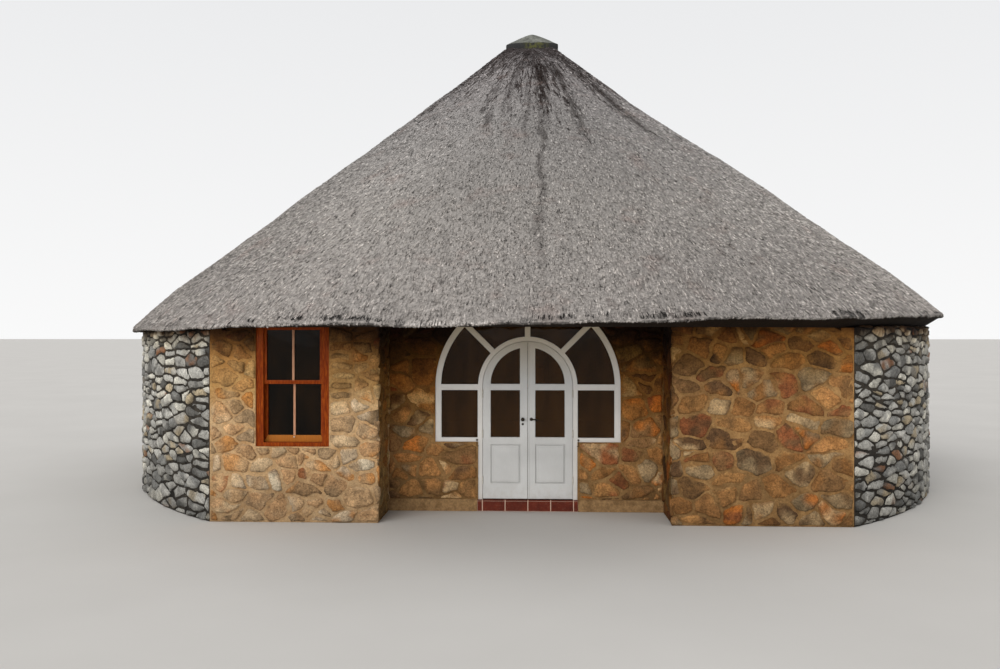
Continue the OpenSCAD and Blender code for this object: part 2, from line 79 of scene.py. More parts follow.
# Windows
WIN_W = 0.89
WIN_Z = 0.905
WIN_X = -2.815
WIN_H_FRONT = 1.51
WIN_H_SIDE = 1.05
# Where the round wall starts, and how far each of its seven parts goes round, in degrees
RING_START = math.degrees(math.atan2(FRONT_Y, CORNER_X))
RING_PART = (180 - 2 * RING_START) / 7
# Each window's direction from the roof axis in degrees, or None for the front one, and its height
WINDOWS = ((None, WIN_H_FRONT), (RING_START + 1.5 * RING_PART, WIN_H_SIDE), (90, WIN_H_SIDE),
           (180 - RING_START - 1.5 * RING_PART, WIN_H_SIDE))
SASH_BAR_HALF = 0.0145
SASH_RAIL_TOP = 0.13
# Marks stored on the sashes: a painted highlight on the bottom rails, and how bleached the glazing bars are
RAIL_HIGHLIGHT = 0.28
BLEACHED_BAR = 1.0

# Roof
EAVE_R = 6.5
EAVE_Z = 2.33
CUT_R = 6.2
LIP_H = 0.03
DRESSED_R = 5.9
THATCH_T = 0.26
PITCH = math.radians(38.46)
RISE = math.tan(PITCH)
CAP_X = 0.045
CAP_HALF = 0.455
CAP_DEPTH = 0.15
CAP_LOW_Z = 7.255
CAP_RIM_Z = 7.36
CAP_TOP_Z = 7.572

# Camera
FOCAL_PX = 860
IMAGE_W = 1000
SENSOR_MM = 36
CAMERA_PLACE = (0.09, -15.2, 2.25)
CAMERA_YAW = math.radians(2.31)


def srgb(red, green, blue):
    """Linear colour, with alpha, of an 8-bit sRGB one."""
    def linear(channel):
        value = channel / 255
        return value / 12.92 if value <= 0.04045 else ((value + 0.055) / 1.055) ** 2.4
    return (linear(red), linear(green), linear(blue), 1.0)


# Noise and meshes

HASH_X, HASH_Y, HASH_Z, HASH_SEED = 73856093, 19349663, 83492791, 40503
HASH_A, HASH_B = 1103515245, 12345
HASH_MASK = 0x7FFFFFFF


def lattice(cells, seed):
    """A value in -1..1 for each lattice cell, always the same for the same cell and seed."""
    mixed = (cells[:, 0] * HASH_X) ^ (cells[:, 1] * HASH_Y) ^ (cells[:, 2] * HASH_Z) ^ (seed * HASH_SEED)
    for _ in range(3):
        mixed = ((mixed ^ (mixed >> 13)) * HASH_A + HASH_B) & HASH_MASK
    return mixed / (HASH_MASK / 2) - 1


def noise(points, size, seed=0):
    """Smooth noise in -1..1 at points (n, 2 or 3), one lattice cell every size metres."""
    places = np.asarray(points, float) / size
    if places.shape[1] == 2:
        places = np.column_stack([places, np.zeros(len(places))])
    cells = np.floor(places).astype(np.int64)
    part = places - cells
    part = part * part * (3 - 2 * part)
    total = np.zeros(len(places))
    for dx in (0, 1):
        for dy in (0, 1):
            for dz in (0, 1):
                step = np.array([dx, dy, dz])
                weight = np.prod(np.where(step == 1, part, 1 - part), axis=1)
                total += weight * lattice(cells + step, seed)
    return total


def add_object(name, data):
    """A new object in the scene."""
    item = bpy.data.objects.new(name, data)
    bpy.context.scene.collection.objects.link(item)
    return item


def add_piece(name, mesh, material, body):
    """A new object of one material that rides on a body."""
    mesh.materials.clear()
    mesh.materials.append(material)
    piece = add_object(name, mesh)
    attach(piece, body)
    return piece


def mesh_piece(name, points, faces, material, slot, body="house", smooth=True):
    """A new piece from points and faces."""
    mesh = bpy.data.meshes.new(name)
    mesh.from_pydata(points.tolist(), [], faces if isinstance(faces, list) else faces.tolist())
    mesh.polygons.foreach_set("use_smooth", [smooth] * len(mesh.polygons))
    mesh.validate()
    return add_piece(name, mesh, material, body)


def tint(piece, colours, name="tint", domain="POINT"):
    """Stores a colour for each vertex or face corner, from rows of three or from greys."""
    rows = np.ones((len(colours), 4), np.float32)
    rows[:, :3] = np.asarray(colours).reshape(len(colours), -1)
    layer = piece.data.color_attributes.new(name, "FLOAT_COLOR", domain)
    layer.data.foreach_set("color", rows.ravel())


# Materials

def math_method(operation):
    """A method of Output that adds a math node and gives what comes out of it."""
    def method(self, other=0.0):
        return self.finish.math(operation, self, other)
    return method


class Output:
    """A node's output. Sums of outputs and numbers add the math nodes that work them out."""
    __add__ = math_method("ADD")
    __sub__ = math_method("SUBTRACT")
    __mul__ = math_method("MULTIPLY")
    __truediv__ = math_method("DIVIDE")
    __pow__ = math_method("POWER")
    __gt__ = math_method("GREATER_THAN")
    __lt__ = math_method("LESS_THAN")
    __abs__ = math_method("ABSOLUTE")
    larger = math_method("MAXIMUM")

    def __init__(self, finish, socket):
        self.finish = finish
        self.socket = socket


# Sockets of a mix node that has colours: its two inputs and its output, which share their names with others
MIX_FIRST, MIX_SECOND, MIX_RESULT = 6, 7, 2


class Finish:
    """A node material on one Principled shader, with short ways to add the nodes that feed it."""

    def __init__(self, name, roughness=0.8, colour=None, **sockets):
        self.material = bpy.data.materials.new(name)
        self.material.use_nodes = True
        self.tree = self.material.node_tree
        self.shader = self.tree.nodes["Principled BSDF"]
        self.set("Roughness", roughness)
        for socket, value in sockets.items():
            self.set(socket, value)
        self.paint = colour
        self.place = self.out("Object", "TexCoord")
        self.x, self.y, self.z = self.parts_of(self.place)

    def set(self, name, value):
        """Feeds a socket of the shader, named with spaces or underscores."""
        self.feed(self.shader.inputs[name.replace("_", " ")], value)

    def feed(self, socket, value):
        """Links an output to the socket, or sets its value."""
        if isinstance(value, Output):
            self.tree.links.new(value.socket, socket)
        else:
            socket.default_value = value

    def node(self, kind, *values, sockets=(), **settings):
        """A new node; values feed its first inputs, and sockets are pairs of an input and its value."""
        new = self.tree.nodes.new("ShaderNode" + kind)
        for key, value in settings.items():
            setattr(new, key, value)
        for place, value in [*enumerate(values), *sockets]:
            self.feed(new.inputs[place], value)
        return new

    def out(self, name, *values, **settings):
        """One output of a new node."""
        return Output(self, self.node(*values, **settings).outputs[name])

    def parts_of(self, vector):
        """The three coordinates of a vector."""
        return [Output(self, part) for part in self.node("SeparateXYZ", vector).outputs]

    def vector(self, operation, *values, **sockets):
        """What a vector math node gives."""
        name = "Value" if operation == "DOT_PRODUCT" else "Vector"
        return self.out(name, "VectorMath", *values, sockets=sockets.items(), operation=operation)

    def stretched(self, scale):
        """Object coordinates with each axis scaled."""
        return self.out("Vector", "Mapping", self.place, sockets=[("Scale", scale)])

    def noise(self, scale, detail=3.0, rough=0.55, place=None, distortion=0.0):
        """Grey noise in the object's coordinates or at other places."""
        sockets = [("Scale", scale), ("Detail", detail), ("Roughness", rough), ("Distortion", distortion)]
        return self.out("Fac", "TexNoise", place or self.place, sockets=sockets)

    def ramp(self, value, *stops):
        """Colour or grey ramp; each stop is (position, colour or grey)."""
        new = self.node("ValToRGB", value)
        ramp = new.color_ramp
        while len(ramp.elements) < len(stops):
            ramp.elements.new(0.5)
        for element, (position, colour) in zip(ramp.elements, stops):
            element.position = position
            element.color = colour if isinstance(colour, tuple) else (colour, colour, colour, 1)
        return Output(self, new.outputs["Color"])

    def mix(self, factor, first, second, blend="MIX"):
        """Two colours mixed."""
        sockets = [(MIX_FIRST, first), (MIX_SECOND, second)]
        return self.out(MIX_RESULT, "Mix", factor, sockets=sockets, data_type="RGBA", blend_type=blend)

    def times(self, first, second, share=1.0):
        """The first colour multiplied by the second, by a share."""
        return self.mix(share, first, second, "MULTIPLY")

    def math(self, operation, first, second=0.0, clamp=False):
        """What a math node gives."""
        return self.out(0, "Math", first, second, operation=operation, use_clamp=clamp)

    def spots(self, scale, detail, rough, *stops, **settings):
        """Noise with more contrast: a ramp over it."""
        return self.ramp(self.noise(scale, detail, rough, **settings), *stops)

    def tinted(self, name="tint"):
        """The colour stored on the mesh."""
        return self.out("Color", "VertexColor", layer_name=name)

    def shade(self, by, share=1.0):
        """Multiplies the paint so far, by a share."""
        self.paint = self.times(self.paint, by, share)

    def cover(self, where, colour):
        """Lays a colour over the paint so far."""
        self.paint = self.mix(where, self.paint, colour)

    def bump(self, height, distance):
        """Makes the surface look uneven, on top of the bumps it has."""
        new = self.node("Bump", sockets=[("Distance", distance), ("Height", height)])
        normal = self.shader.inputs["Normal"]
        if normal.is_linked:
            self.tree.links.new(normal.links[0].from_socket, new.inputs["Normal"])
        self.tree.links.new(new.outputs["Normal"], normal)

    def lumps(self, distance, *noise):
        """Bump from noise of its own."""
        self.bump(self.noise(*noise), distance)

    def done(self):
        """The material, with the paint so far as its colour."""
        self.set("Base Color", self.paint)
        return self.material


# Share of each colour left by the painted shade under the eave, with some soot, from the foot of its range
# to the head
FRONT_EAVE_SHADE = ((0.0, (1, 1, 1, 1)), (0.35, (0.8, 0.71, 0.5, 1)), (0.64, (0.7, 0.55, 0.33, 1)),
              (0.83, (0.26, 0.17, 0.08, 1)), (0.95, (0.1, 0.06, 0.03, 1)))
PORCH_EAVE_SHADE = ((0.0, (1, 1, 1, 1)), (0.165, (0.9, 0.85, 0.7, 1)), (0.53, (0.74, 0.56, 0.3, 1)),
              (0.84, (0.2, 0.14, 0.05, 1)), (1.0, (0.06, 0.04, 0.02, 1)))
ROUND_EAVE_SHADE = ((0.0, (1, 1, 1, 1)), (0.5, (1.0, 0.94, 0.84, 1)), (0.72, (0.55, 0.42, 0.3, 1)),
              (0.86, (0.1, 0.05, 0.02, 1)))
# Planes just behind the flat front's face and just in front of the porch's back wall
BEHIND_FRONT = FRONT_Y + 0.06
BEFORE_RECESS = RECESS_Y - 0.07


def eave_shade_and_soot(finish, foot, head, shade_ramp):
    """The paint under painted shade, with some brown soot and damp, that darkens a wall towards its head
    under the eave, in uneven runs.
    """
    runs = finish.noise(3.2, 4, 0.6, place=finish.stretched((1, 1, 0.45)))
    wavy = finish.z + (runs - 0.5) * 0.45
    level = finish.math("DIVIDE", wavy - foot, head - foot, clamp=True)
    return finish.times(finish.paint, finish.ramp(level, *shade_ramp))


def darker_foot(finish):
    """Darkens the foot of a wall."""
    finish.shade(finish.ramp(finish.z, (0.0, 0.6), (1.0, 1.0)))


def front_shade_and_foot(finish):
    """Painted shade and some soot under the eave on the flat front, lower in the porch and deepest on its
    cheeks; the foot is darker too.
    """
    darker_foot(finish)
    left = eave_shade_and_soot(finish, 1.3, 2.3, FRONT_EAVE_SHADE)
    right = eave_shade_and_soot(finish, 1.7, 2.5, FRONT_EAVE_SHADE)
    outside = finish.mix(finish.x > 0.0, left, right)
    lower_porch_shade = eave_shade_and_soot(finish, 1.0, 2.25, PORCH_EAVE_SHADE)
    # The porch's cheeks are darker still: painted shade
    cheek = finish.times(lower_porch_shade, srgb(202, 188, 150))
    porch = finish.mix(finish.y > BEFORE_RECESS, cheek, lower_porch_shade)
    finish.paint = finish.mix(finish.y > BEHIND_FRONT, outside, porch)


def round_shade_and_foot(finish):
    """Painted shade of the round wall right under the eave, with some soot; the foot is darker too."""
    darker_foot(finish)
    finish.paint = eave_shade_and_soot(finish, 2.02, 2.36, ROUND_EAVE_SHADE)


def stone_finish(name, spots, shade_and_foot):
    """Rough natural stone over the tint stored for each stone."""
    finish = Finish(name, 0.9, Specular_IOR_Level=0.2)
    finish.paint = finish.tinted()
    finish.shade(finish.spots(7, 6, 0.65, (0.32, 0.58), (0.5, 0.98), (0.68, 1.32)))
    finish.shade(finish.spots(48, 5, 0.75, (0.34, 0.48), (0.5, 1.0), (0.66, 1.38)), 0.9)
    cracks = finish.spots(5, 4, 0.6, (0.482, 1.0), (0.5, 0.5), (0.518, 1.0), distortion=1.6)
    finish.shade(cracks, 0.75)
    finish.cover(finish.spots(13, 6, 0.7, (0.57, 0.0), (0.68, 1.0)) * 0.4, spots)
    # Painted shade under the eave, with some soot, and a darker foot
    shade_and_foot(finish)
    finish.lumps(0.032, 13, 6, 0.65)
    finish.lumps(0.010, 55, 5, 0.7)
    return finish.done()


def mortar_finish(name, light, dark, shade_and_foot):
    """Wall mortar outside, with trowelled lumps, and limewashed plaster on the inner faces."""
    finish = Finish(name, 0.95, dark, Specular_IOR_Level=0.2)
    finish.cover(finish.spots(6, 5, 0.6, (0.35, 0.0), (0.65, 1.0)), light)
    finish.shade(finish.spots(40, 5, 0.7, (0.33, 0.62), (0.5, 1.0), (0.67, 1.22)), 0.8)
    finish.shade(finish.spots(2.3, 5, 0.65, (0.36, 0.7), (0.6, 1.06)))
    # Painted shade under the eave, with some soot, and a darker foot
    shade_and_foot(finish)
    inner_round = finish.x ** 2.0 + finish.y ** 2.0 < (WALL_R - WALL_T / 2) ** 2
    beside_porch = (finish.y > FRONT_Y + WALL_T / 2) * (abs(finish.x) > PORCH_T / 2 - PORCH_LEFT)
    finish.cover(inner_round * beside_porch.larger(finish.y > RECESS_Y + PORCH_T / 2), srgb(176, 158, 130))
    finish.lumps(0.03, 16, 5, 0.65)
    finish.lumps(0.005, 80, 4, 0.65)
    return finish.done()


# Dark runs on the front of the thatch: start and end in plan, half width and strength
THATCH_RUNS = (((0.15, -0.9), (0.25, -3.1), 0.09, 1.0), ((0.21, -2.8), (0.15, -6.2), 0.045, 0.6),
               ((0.42, -1.1), (0.9, -3.6), 0.06, 0.75), ((0.75, -0.9), (2.0, -2.7), 0.10, 0.8),
               ((-0.02, -1.6), (-0.03, -3.8), 0.035, 0.5), ((-0.28, -1.4), (-0.38, -2.9), 0.04, 0.5))


def soot_run(finish, start, end, half_width, wander):
    """Share of a dark run that goes from a start to an end in plan."""
    length = math.dist(start, end)
    direction = ((end[0] - start[0]) / length, (end[1] - start[1]) / length)

    def along(x, y):
        """Distance from the start along a direction in plan."""
        return finish.vector("DOT_PRODUCT", finish.place, (x, y, 0)) - (x * start[0] + y * start[1])

    aside = abs(along(-direction[1], direction[0]) + wander)
    band = finish.ramp(aside / (2 * half_width), (0.25, 1.0), (0.8, 0.0))
    return band * finish.ramp(along(*direction) / length, (0.0, 0.0), (0.08, 1.0), (0.6, 0.85), (1.0, 0.0))


def thatch_finish():
    """Weathered grass over the tint of each stroke: dark under the cap, with runs and brownish patches."""
    finish = Finish("weathered_thatch", 0.95, Specular_IOR_Level=0.15)
    outward = finish.vector("NORMALIZE", finish.stretched((1, 1, 0)))
    height = (finish.z - EAVE_Z) / (CAP_LOW_Z - EAVE_Z)

    def combed(around_scale, height_scale, detail, rough=0.55):
        """Noise that runs round the roof and down its slope."""
        wide = finish.vector("SCALE", outward, Scale=around_scale)
        place = finish.vector("ADD", wide, finish.stretched((0, 0, height_scale)))
        return finish.noise(1.0, detail, rough, place=place)

    finish.paint = finish.ramp(height, (0.0, srgb(158, 152, 147)), (0.3, srgb(158, 153, 148)),
                               (0.6, srgb(154, 150, 147)), (0.85, srgb(150, 145, 144)),
                               (1.0, srgb(142, 136, 136)))
    # Soot and moss under the cap, which thin out downwards into streaks
    level = height + (combed(3.5, 0.2, 3) - 0.5) * 0.5
    streaks = combed(46, 5, 5, 0.75) + (level - 0.77) * 0.5
    fine = finish.ramp(streaks, (0.515, 0.0), (0.56, 1.0))
    blots = combed(11, 1.3, 5, 0.65) + (level - 0.85) * 0.4
    broad = finish.ramp(blots, (0.53, 0.0), (0.59, 1.0))
    finish.cover(fine.larger(broad * 0.6) * 0.92, srgb(50, 41, 38))
    finish.cover(finish.ramp(height, (0.88, 0.0), (1.0, 0.12)), srgb(72, 66, 70))
    # Runs of soot below leaks of the cap
    crumbs = finish.ramp(combed(44, 6, 5, 0.78), (0.41, 0.0), (0.5, 1.0))
    wander = (finish.noise(1.3, 3, 0.6) - 0.5) * 0.28
    for *run, strength in THATCH_RUNS:
        finish.cover(soot_run(finish, *run, wander) * crumbs * strength, srgb(40, 30, 25))
    # Brownish patches and broad clouds of light and dark
    finish.cover(finish.spots(1.9, 6, 0.65, (0.56, 0.0), (0.7, 1.0)) * 0.35, srgb(138, 116, 108))
    finish.shade(finish.spots(0.55, 5, 0.55, (0.3, 0.96), (0.7, 1.1)))
    # Painted light and shade round the roof: brightest left of the front, darker at the far left and
    # towards the right
    share = (finish.parts_of(outward)[0] + 1.0) * 0.5
    finish.shade(finish.ramp(share, (0.08, 0.8), (0.2, 1.05), (0.3, 1.15), (0.5, 1.0), (0.66, 0.9)))
    # Single strands and specks
    finish.shade(finish.ramp(combed(190, 26, 4, 0.75), (0.33, 0.5), (0.5, 1.0), (0.66, 1.4)), 0.9)
    finish.shade(finish.spots(42, 3, 0.8, (0.36, 0.7), (0.5, 1.0), (0.64, 1.25)))
    # The tone stored on each stroke and on the coat, with painted shade in the gaps, holes and underside
    finish.shade(finish.tinted())
    finish.bump(combed(210, 14, 4, 0.7), 0.012)
    return finish.done()


def panel_channel_shade(finish):
    """Share of colour left by painted shade in the channel and on the bevel round each leaf's panel."""
    half_w = (LIGHT_R - STILE_X) / 2
    half_h = (PANEL_TOP_Z - PANEL_LOW_Z) / 2
    beside = abs(abs(finish.x) - (STILE_X + half_w)) - half_w
    over = abs(finish.z - (PANEL_LOW_Z + half_h)) - half_h
    inwards = (beside.larger(over) * -1.0 + 0.01) / 0.08
    return finish.ramp(inwards, (0.06, 1.0), (0.15, 0.97), (0.22, 0.9), (0.28, 0.96),
                       (0.58, 0.98), (0.63, 0.9), (0.70, 1.0))


def white_paint_finish(name, dark, light, head_shade):
    """White gloss paint on timber, brushed, with grime low down, and painted shade towards its head under
    the eave and round the panels.
    """
    finish = Finish(name)
    finish.paint = finish.ramp(finish.noise(2.5), (0.3, dark), (0.7, light))
    # Painted shade, cream-brown, towards the head under the eave
    finish.cover(finish.math("MULTIPLY", finish.z - 1.65, 1.0, clamp=True), head_shade)
    strokes = finish.noise(40, 3, 0.5, place=finish.stretched((9, 9, 0.5)))
    finish.shade(finish.ramp(strokes, (0.3, 0.86), (0.7, 1.04)), 0.35)
    finish.shade(finish.ramp(finish.z, (0.72, 0.87), (0.98, 1.0)))
    low = finish.ramp(finish.z, (0.14, 1.0), (0.42, 0.0))
    finish.cover(low * finish.spots(14, 5, 0.7, (0.42, 0.0), (0.7, 1.0)) * 0.25, srgb(150, 128, 98))
    finish.cover(finish.spots(30, 6, 0.75, (0.66, 0.0), (0.74, 1.0)) * 0.3, srgb(158, 140, 116))
    # Painted shade in the channels and on the bevels round the panels
    finish.shade(panel_channel_shade(finish))
    finish.set("Roughness", finish.ramp(finish.noise(20), (0.3, 0.34), (0.7, 0.55)))
    finish.bump(strokes, 0.0012)
    return finish.done()


def varnish_finish():
    """Orange-brown varnished hardwood with upright grain, bleached, pinkish glazing bars, and a painted
    orange highlight on the bottom rails.
    """
    finish = Finish("varnished_wood", Specular_IOR_Level=0.09)
    grain = finish.noise(22, 6, 0.6, place=finish.stretched((6, 6, 0.45)), distortion=0.6)
    finish.paint = finish.ramp(grain, (0.25, srgb(84, 26, 1)), (0.5, srgb(131, 50, 5)),
                               (0.78, srgb(184, 94, 18)))
    finish.cover(finish.spots(6, 5, 0.7, (0.62, 0.0), (0.78, 1.0)) * 0.25, srgb(196, 140, 96))
    bleached = finish.ramp(grain, (0.3, srgb(158, 106, 76)), (0.6, srgb(200, 152, 122)),
                           (0.8, srgb(214, 178, 150)))
    # The stored marks: bleaching on the glazing bars and a painted highlight on the bottom rails
    marks = finish.tinted("bleached")
    # Painted highlight on the bottom rails, in orange
    finish.cover(finish.ramp(marks, (0.0, 0.0), (RAIL_HIGHLIGHT, 0.45)), srgb(206, 140, 60))
    finish.cover(finish.ramp(marks, (0.3, 0.0), (0.9, 1.0)), bleached)
    finish.set("Roughness", finish.ramp(finish.noise(18), (0.3, 0.32), (0.7, 0.55)))
    finish.bump(grain, 0.0015)
    return finish.done()


def glass_finish(name, dark, light):
    """Glass over a dark room, with a painted warm reflection and some dust, in upright bands."""
    finish = Finish(name, 0.03, Transmission_Weight=0.85, IOR=1.22)
    place = finish.stretched((1, 1, 0.35))
    # Painted reflection, with some dust, in warm upright bands
    finish.paint = finish.spots(3.2, 3, 0.6, (0.35, dark), (0.65, light), place=place)
    finish.lumps(0.004, 2.5, 2)
    return finish.done()


def metal_finish(name, colour, roughness, worn, bare=0.85):
    """Metal with slight wear; bare is how metallic it looks."""
    finish = Finish(name, roughness, colour, Metallic=bare)
    finish.cover(finish.spots(90, 4, 0.55, (0.45, 0.0), (0.7, 1.0)) * 0.6, worn)
    finish.lumps(0.0006, 160)
    return finish.done()


def tile_finish():
    """Red-brown quarry tiles with a waxed face."""
    finish = Finish("quarry_tiles", Specular_IOR_Level=0.2)
    finish.paint = finish.ramp(finish.noise(12, 4), (0.3, srgb(82, 27, 14)), (0.7, srgb(106, 40, 22)))
    finish.shade(finish.tinted(), 0.5)
    finish.cover(finish.spots(45, 4, 0.7, (0.55, 0.0), (0.75, 1.0)) * 0.2, srgb(160, 130, 110))
    finish.set("Roughness", finish.ramp(finish.noise(30), (0.3, 0.3), (0.7, 0.6)))
    finish.lumps(0.001, 60)
    return finish.done()


def cement_finish(name, light, dark):
    """Weathered cement, ready for what lies on it."""
    finish = Finish(name, 0.93, dark)
    finish.cover(finish.spots(11, 5, 0.6, (0.35, 0.0), (0.65, 1.0)), light)
    finish.shade(finish.spots(40, 4, 0.7, (0.4, 0.7), (0.62, 1.12)), 0.75)
    finish.lumps(0.008, 35, 5, 0.65)
    finish.lumps(0.0015, 200, 2)
    return finish


def cap_finish():
    """Cement cap: pale cone, and a dark band below the rim with a patch of moss right of the middle."""
    finish = cement_finish("cap_cement", srgb(130, 131, 124), srgb(90, 91, 85))
    edge = (finish.noise(9, 4) - 0.5) * 0.05
    band = finish.z + edge < CAP_RIM_Z - 0.002
    finish.cover(band * 0.93, srgb(30, 30, 32))
    near = finish.ramp(abs(finish.x - (CAP_X + 0.06)) / 0.26, (0.3, 1.0), (1.0, 0.0))
    moss = finish.spots(13, 5, 0.65, (0.44, 0.0), (0.56, 1.0))
    finish.cover(band * moss * near * 0.8, srgb(92, 92, 46))
    return finish.done()


def plain_finish(name, roughness, grain, stops, lumps):
    """A ramp of colours over noise, and bump; grain and lumps are what noise and lumps take."""
    finish = Finish(name, roughness)
    finish.paint = finish.ramp(finish.noise(*grain), *stops)
    finish.lumps(*lumps)
    return finish.done()


def pole_finish():
    """Bare gum poles and laths, brown with paler worn sapwood."""
    stops = ((0.3, srgb(70, 48, 30)), (0.55, srgb(118, 86, 56)), (0.8, srgb(150, 118, 82)))
    return plain_finish("gum_poles", 0.8, (14, 5, 0.65), stops, (0.004, 50, 5, 0.7))


def screed_finish():
    """Polished cement floor inside."""
    stops = ((0.3, srgb(112, 92, 74)), (0.7, srgb(150, 128, 104)))
    return plain_finish("cement_floor", 0.5, (1.8, 5, 0.6), stops, (0.0015, 60))


# Rubble walls

# Depth of the stones' rims behind the mortar's face, and the least face of a stone that is kept
RIM_SUNK = 0.012
LEAST_STONE = 0.0016
# How far a stone's outline has to be from an opening to be warped in full
WARP_ROOM = 0.09
# Gaps between the walls' heads and the roof
FRONT_HEAD_GAP = 0.06
ROUND_HEAD_GAP = 0.004
# Sizes of the stones, in metres, and how they are drawn. wide, high, joint and relief are ranges, squash
# is how much wider than high a cell is, and the palette's rows are red, green, blue and weight
Rubble = namedtuple("Rubble", "wide high squash jitter extra joint relief soft lean step cut warp"
                              " slur shade palette")
# A wall's outer face: openings are (s0, s1, z0, z1), arch is (s, z, radius) of a round one, and the
# stones start at foot
Face = namedtuple("Face", "strip openings arch foot", defaults=((), None, 0.0))

TAN = Rubble(wide=(0.13, 0.42), high=(0.11, 0.25), squash=1.45, jitter=0.44, extra=0.3,
             joint=(0.008, 0.046), relief=(0.008, 0.030), soft=0.0035, lean=0.09, step=0.029, cut=0.13,
             warp=0.042, slur=srgb(208, 176, 136), shade=1.0,
             palette=[(214, 184, 144, 5), (204, 166, 122, 5), (196, 154, 110, 4), (208, 148, 88, 3),
                      (182, 152, 116, 3), (222, 196, 162, 2), (182, 116, 72, 1), (220, 202, 172, 1),
                      (160, 132, 98, 2)])

BROWN = TAN._replace(wide=(0.16, 0.52), high=(0.13, 0.34), joint=(0.008, 0.044), slur=srgb(176, 136, 86),
                     palette=[(180, 128, 76, 5), (158, 110, 62, 5), (190, 138, 82, 4), (200, 120, 52, 2),
                              (138, 102, 64, 4), (164, 138, 102, 3), (150, 90, 54, 2), (112, 82, 54, 3),
                              (204, 170, 124, 3)])

GREY = Rubble(wide=(0.24, 0.56), high=(0.065, 0.14), squash=2.6, jitter=0.3, extra=0.25,
              joint=(0.010, 0.030), relief=(0.012, 0.036), soft=0.0025, lean=0.16, step=0.05, cut=0.035,
              warp=0.02, slur=None, shade=0.7,
              palette=[(220, 217, 208, 5), (196, 193, 185, 4), (164, 163, 158, 4), (248, 243, 228, 4),
                       (122, 120, 115, 4), (206, 188, 156, 2), (166, 120, 88, 1)])


class Strip:
    """A wall's outer face along a plan line: s runs along it to the right, z up and h out of the wall."""

    def __init__(self, plan):
        self.plan = np.array(plan, float)
        sides = np.diff(self.plan, axis=0)
        self.lengths = np.hypot(sides[:, 0], sides[:, 1])
        self.along = sides / self.lengths[:, None]
        self.out = np.column_stack([self.along[:, 1], -self.along[:, 0]])
        self.starts = np.concatenate([[0], np.cumsum(self.lengths)])
        self.length = self.starts[-1]
        self.corners = list(self.starts[1:-1])

    def place(self, s, z, h):
        """Points in space; a stone that turns a corner stands out of both sides of it."""
        side = np.clip(np.searchsorted(self.starts, s, side="right") - 1, 0, len(self.lengths) - 1)
        flat = self.plan[side] + self.along[side] * (s - self.starts[side])[:, None]
        flat += self.out[side] * h[:, None]
        reach = 0.05
        for corner in self.corners:
            before = np.searchsorted(self.starts, corner) - 1
            near = np.clip(1 - np.abs(s - corner) / reach, 0, 1) * h
            other = np.where((s < corner)[:, None], self.out[before + 1], self.out[before])
            flat += other * near[:, None]
        return np.column_stack([flat, z])

    def top(self, s):
        """Height of the wall's head, which follows the roof."""
        side = min(max(int(np.searchsorted(self.starts, s)) - 1, 0), len(self.lengths) - 1)
        x, y = self.plan[side] + self.along[side] * (s - self.starts[side])
        return EAVE_Z + (CUT_R - math.hypot(x, y)) * RISE - FRONT_HEAD_GAP


class RoundStrip:
    """The round wall's outer face from the right front corner round the back to the left one."""
    corners = []
    first = math.atan2(FRONT_Y, CORNER_X)
    length = (math.pi - 2 * first) * WALL_R

    def place(self, s, z, h):
        """Points in space."""
        angle = self.first + s / WALL_R
        reach = WALL_R + h
        return np.column_stack([reach * np.cos(angle), reach * np.sin(angle), z])

    def top(self, s):
        """Height of the wall's head, which follows the tilt of the eave where that is raised."""
        share = (WALL_R - CUT_R) / (EAVE_R - CUT_R)
        return EAVE_Z - ROUND_HEAD_GAP + share * max(0.0, float(tilted(self.first + s / WALL_R, EAVE_R)))

    def at(self, angle):
        """Distance along the strip of an angle given in degrees."""
        return (math.radians(angle) - self.first) * WALL_R


def reach_of(point, direction):
    """How far a point lies along a direction."""
    return direction[0] * point[0] + direction[1] * point[1]


def clipped(polygon, normal, limit):
    """The part of a convex polygon that lies no further than a limit along a normal."""
    kept = []
    for i, point in enumerate(polygon):
        before = polygon[i - 1]
        here = reach_of(point, normal) - limit
        there = reach_of(before, normal) - limit
        if (here < 0) != (there < 0):
            share = there / (there - here)
            kept.append(tuple(b + share * (p - b) for b, p in zip(before, point)))
        if here < 0:
            kept.append(point)
    return kept


def area_of(polygon):
    """Area of a polygon that runs anticlockwise."""
    return 0.5 * sum(a[0] * b[1] - b[0] * a[1] for a, b in zip(polygon, polygon[1:] + polygon[:1]))


def stone_seeds(rubble, face, draw, rows):
    """Seeds of stones in rough courses, and of small ones; rows of thin ones are (s0, s1, z, wide)."""
    length = face.strip.length
    height = max(face.strip.top(s) for s in np.linspace(0, length, 40))
    seeds = []
    z = -0.04
    while z < height:
        high = draw.uniform(*rubble.high)
        s = -draw.uniform(0, rubble.wide[1])
        while s < length + rubble.wide[1]:
            wide = draw.uniform(*rubble.wide)
            if draw.random() > 0.08:
                seeds.append((s + wide / 2, z + high * (0.5 + draw.uniform(-rubble.jitter, rubble.jitter))))
            if draw.random() < rubble.extra:
                seeds.append((s + wide * draw.uniform(0.8, 1.1), z + high * draw.uniform(0.85, 1.1)))
            s += wide
        z += high
    for s0, s1, row_z, wide in rows:
        seeds = [p for p in seeds if not (s0 < p[0] < s1 and abs(p[1] - row_z) < 0.09)]
        s = s0 + wide / 2
        while s < s1:
            seeds.append((s, row_z))
            s += wide * draw.uniform(0.7, 1.3)
    seeds = [p for p in seeds if not any(a < p[0] < b and c < p[1] < d for a, b, c, d in face.openings)]
    if face.arch:
        seeds = [p for p in seeds if math.dist(p, face.arch[:2]) > face.arch[2]]
    return seeds


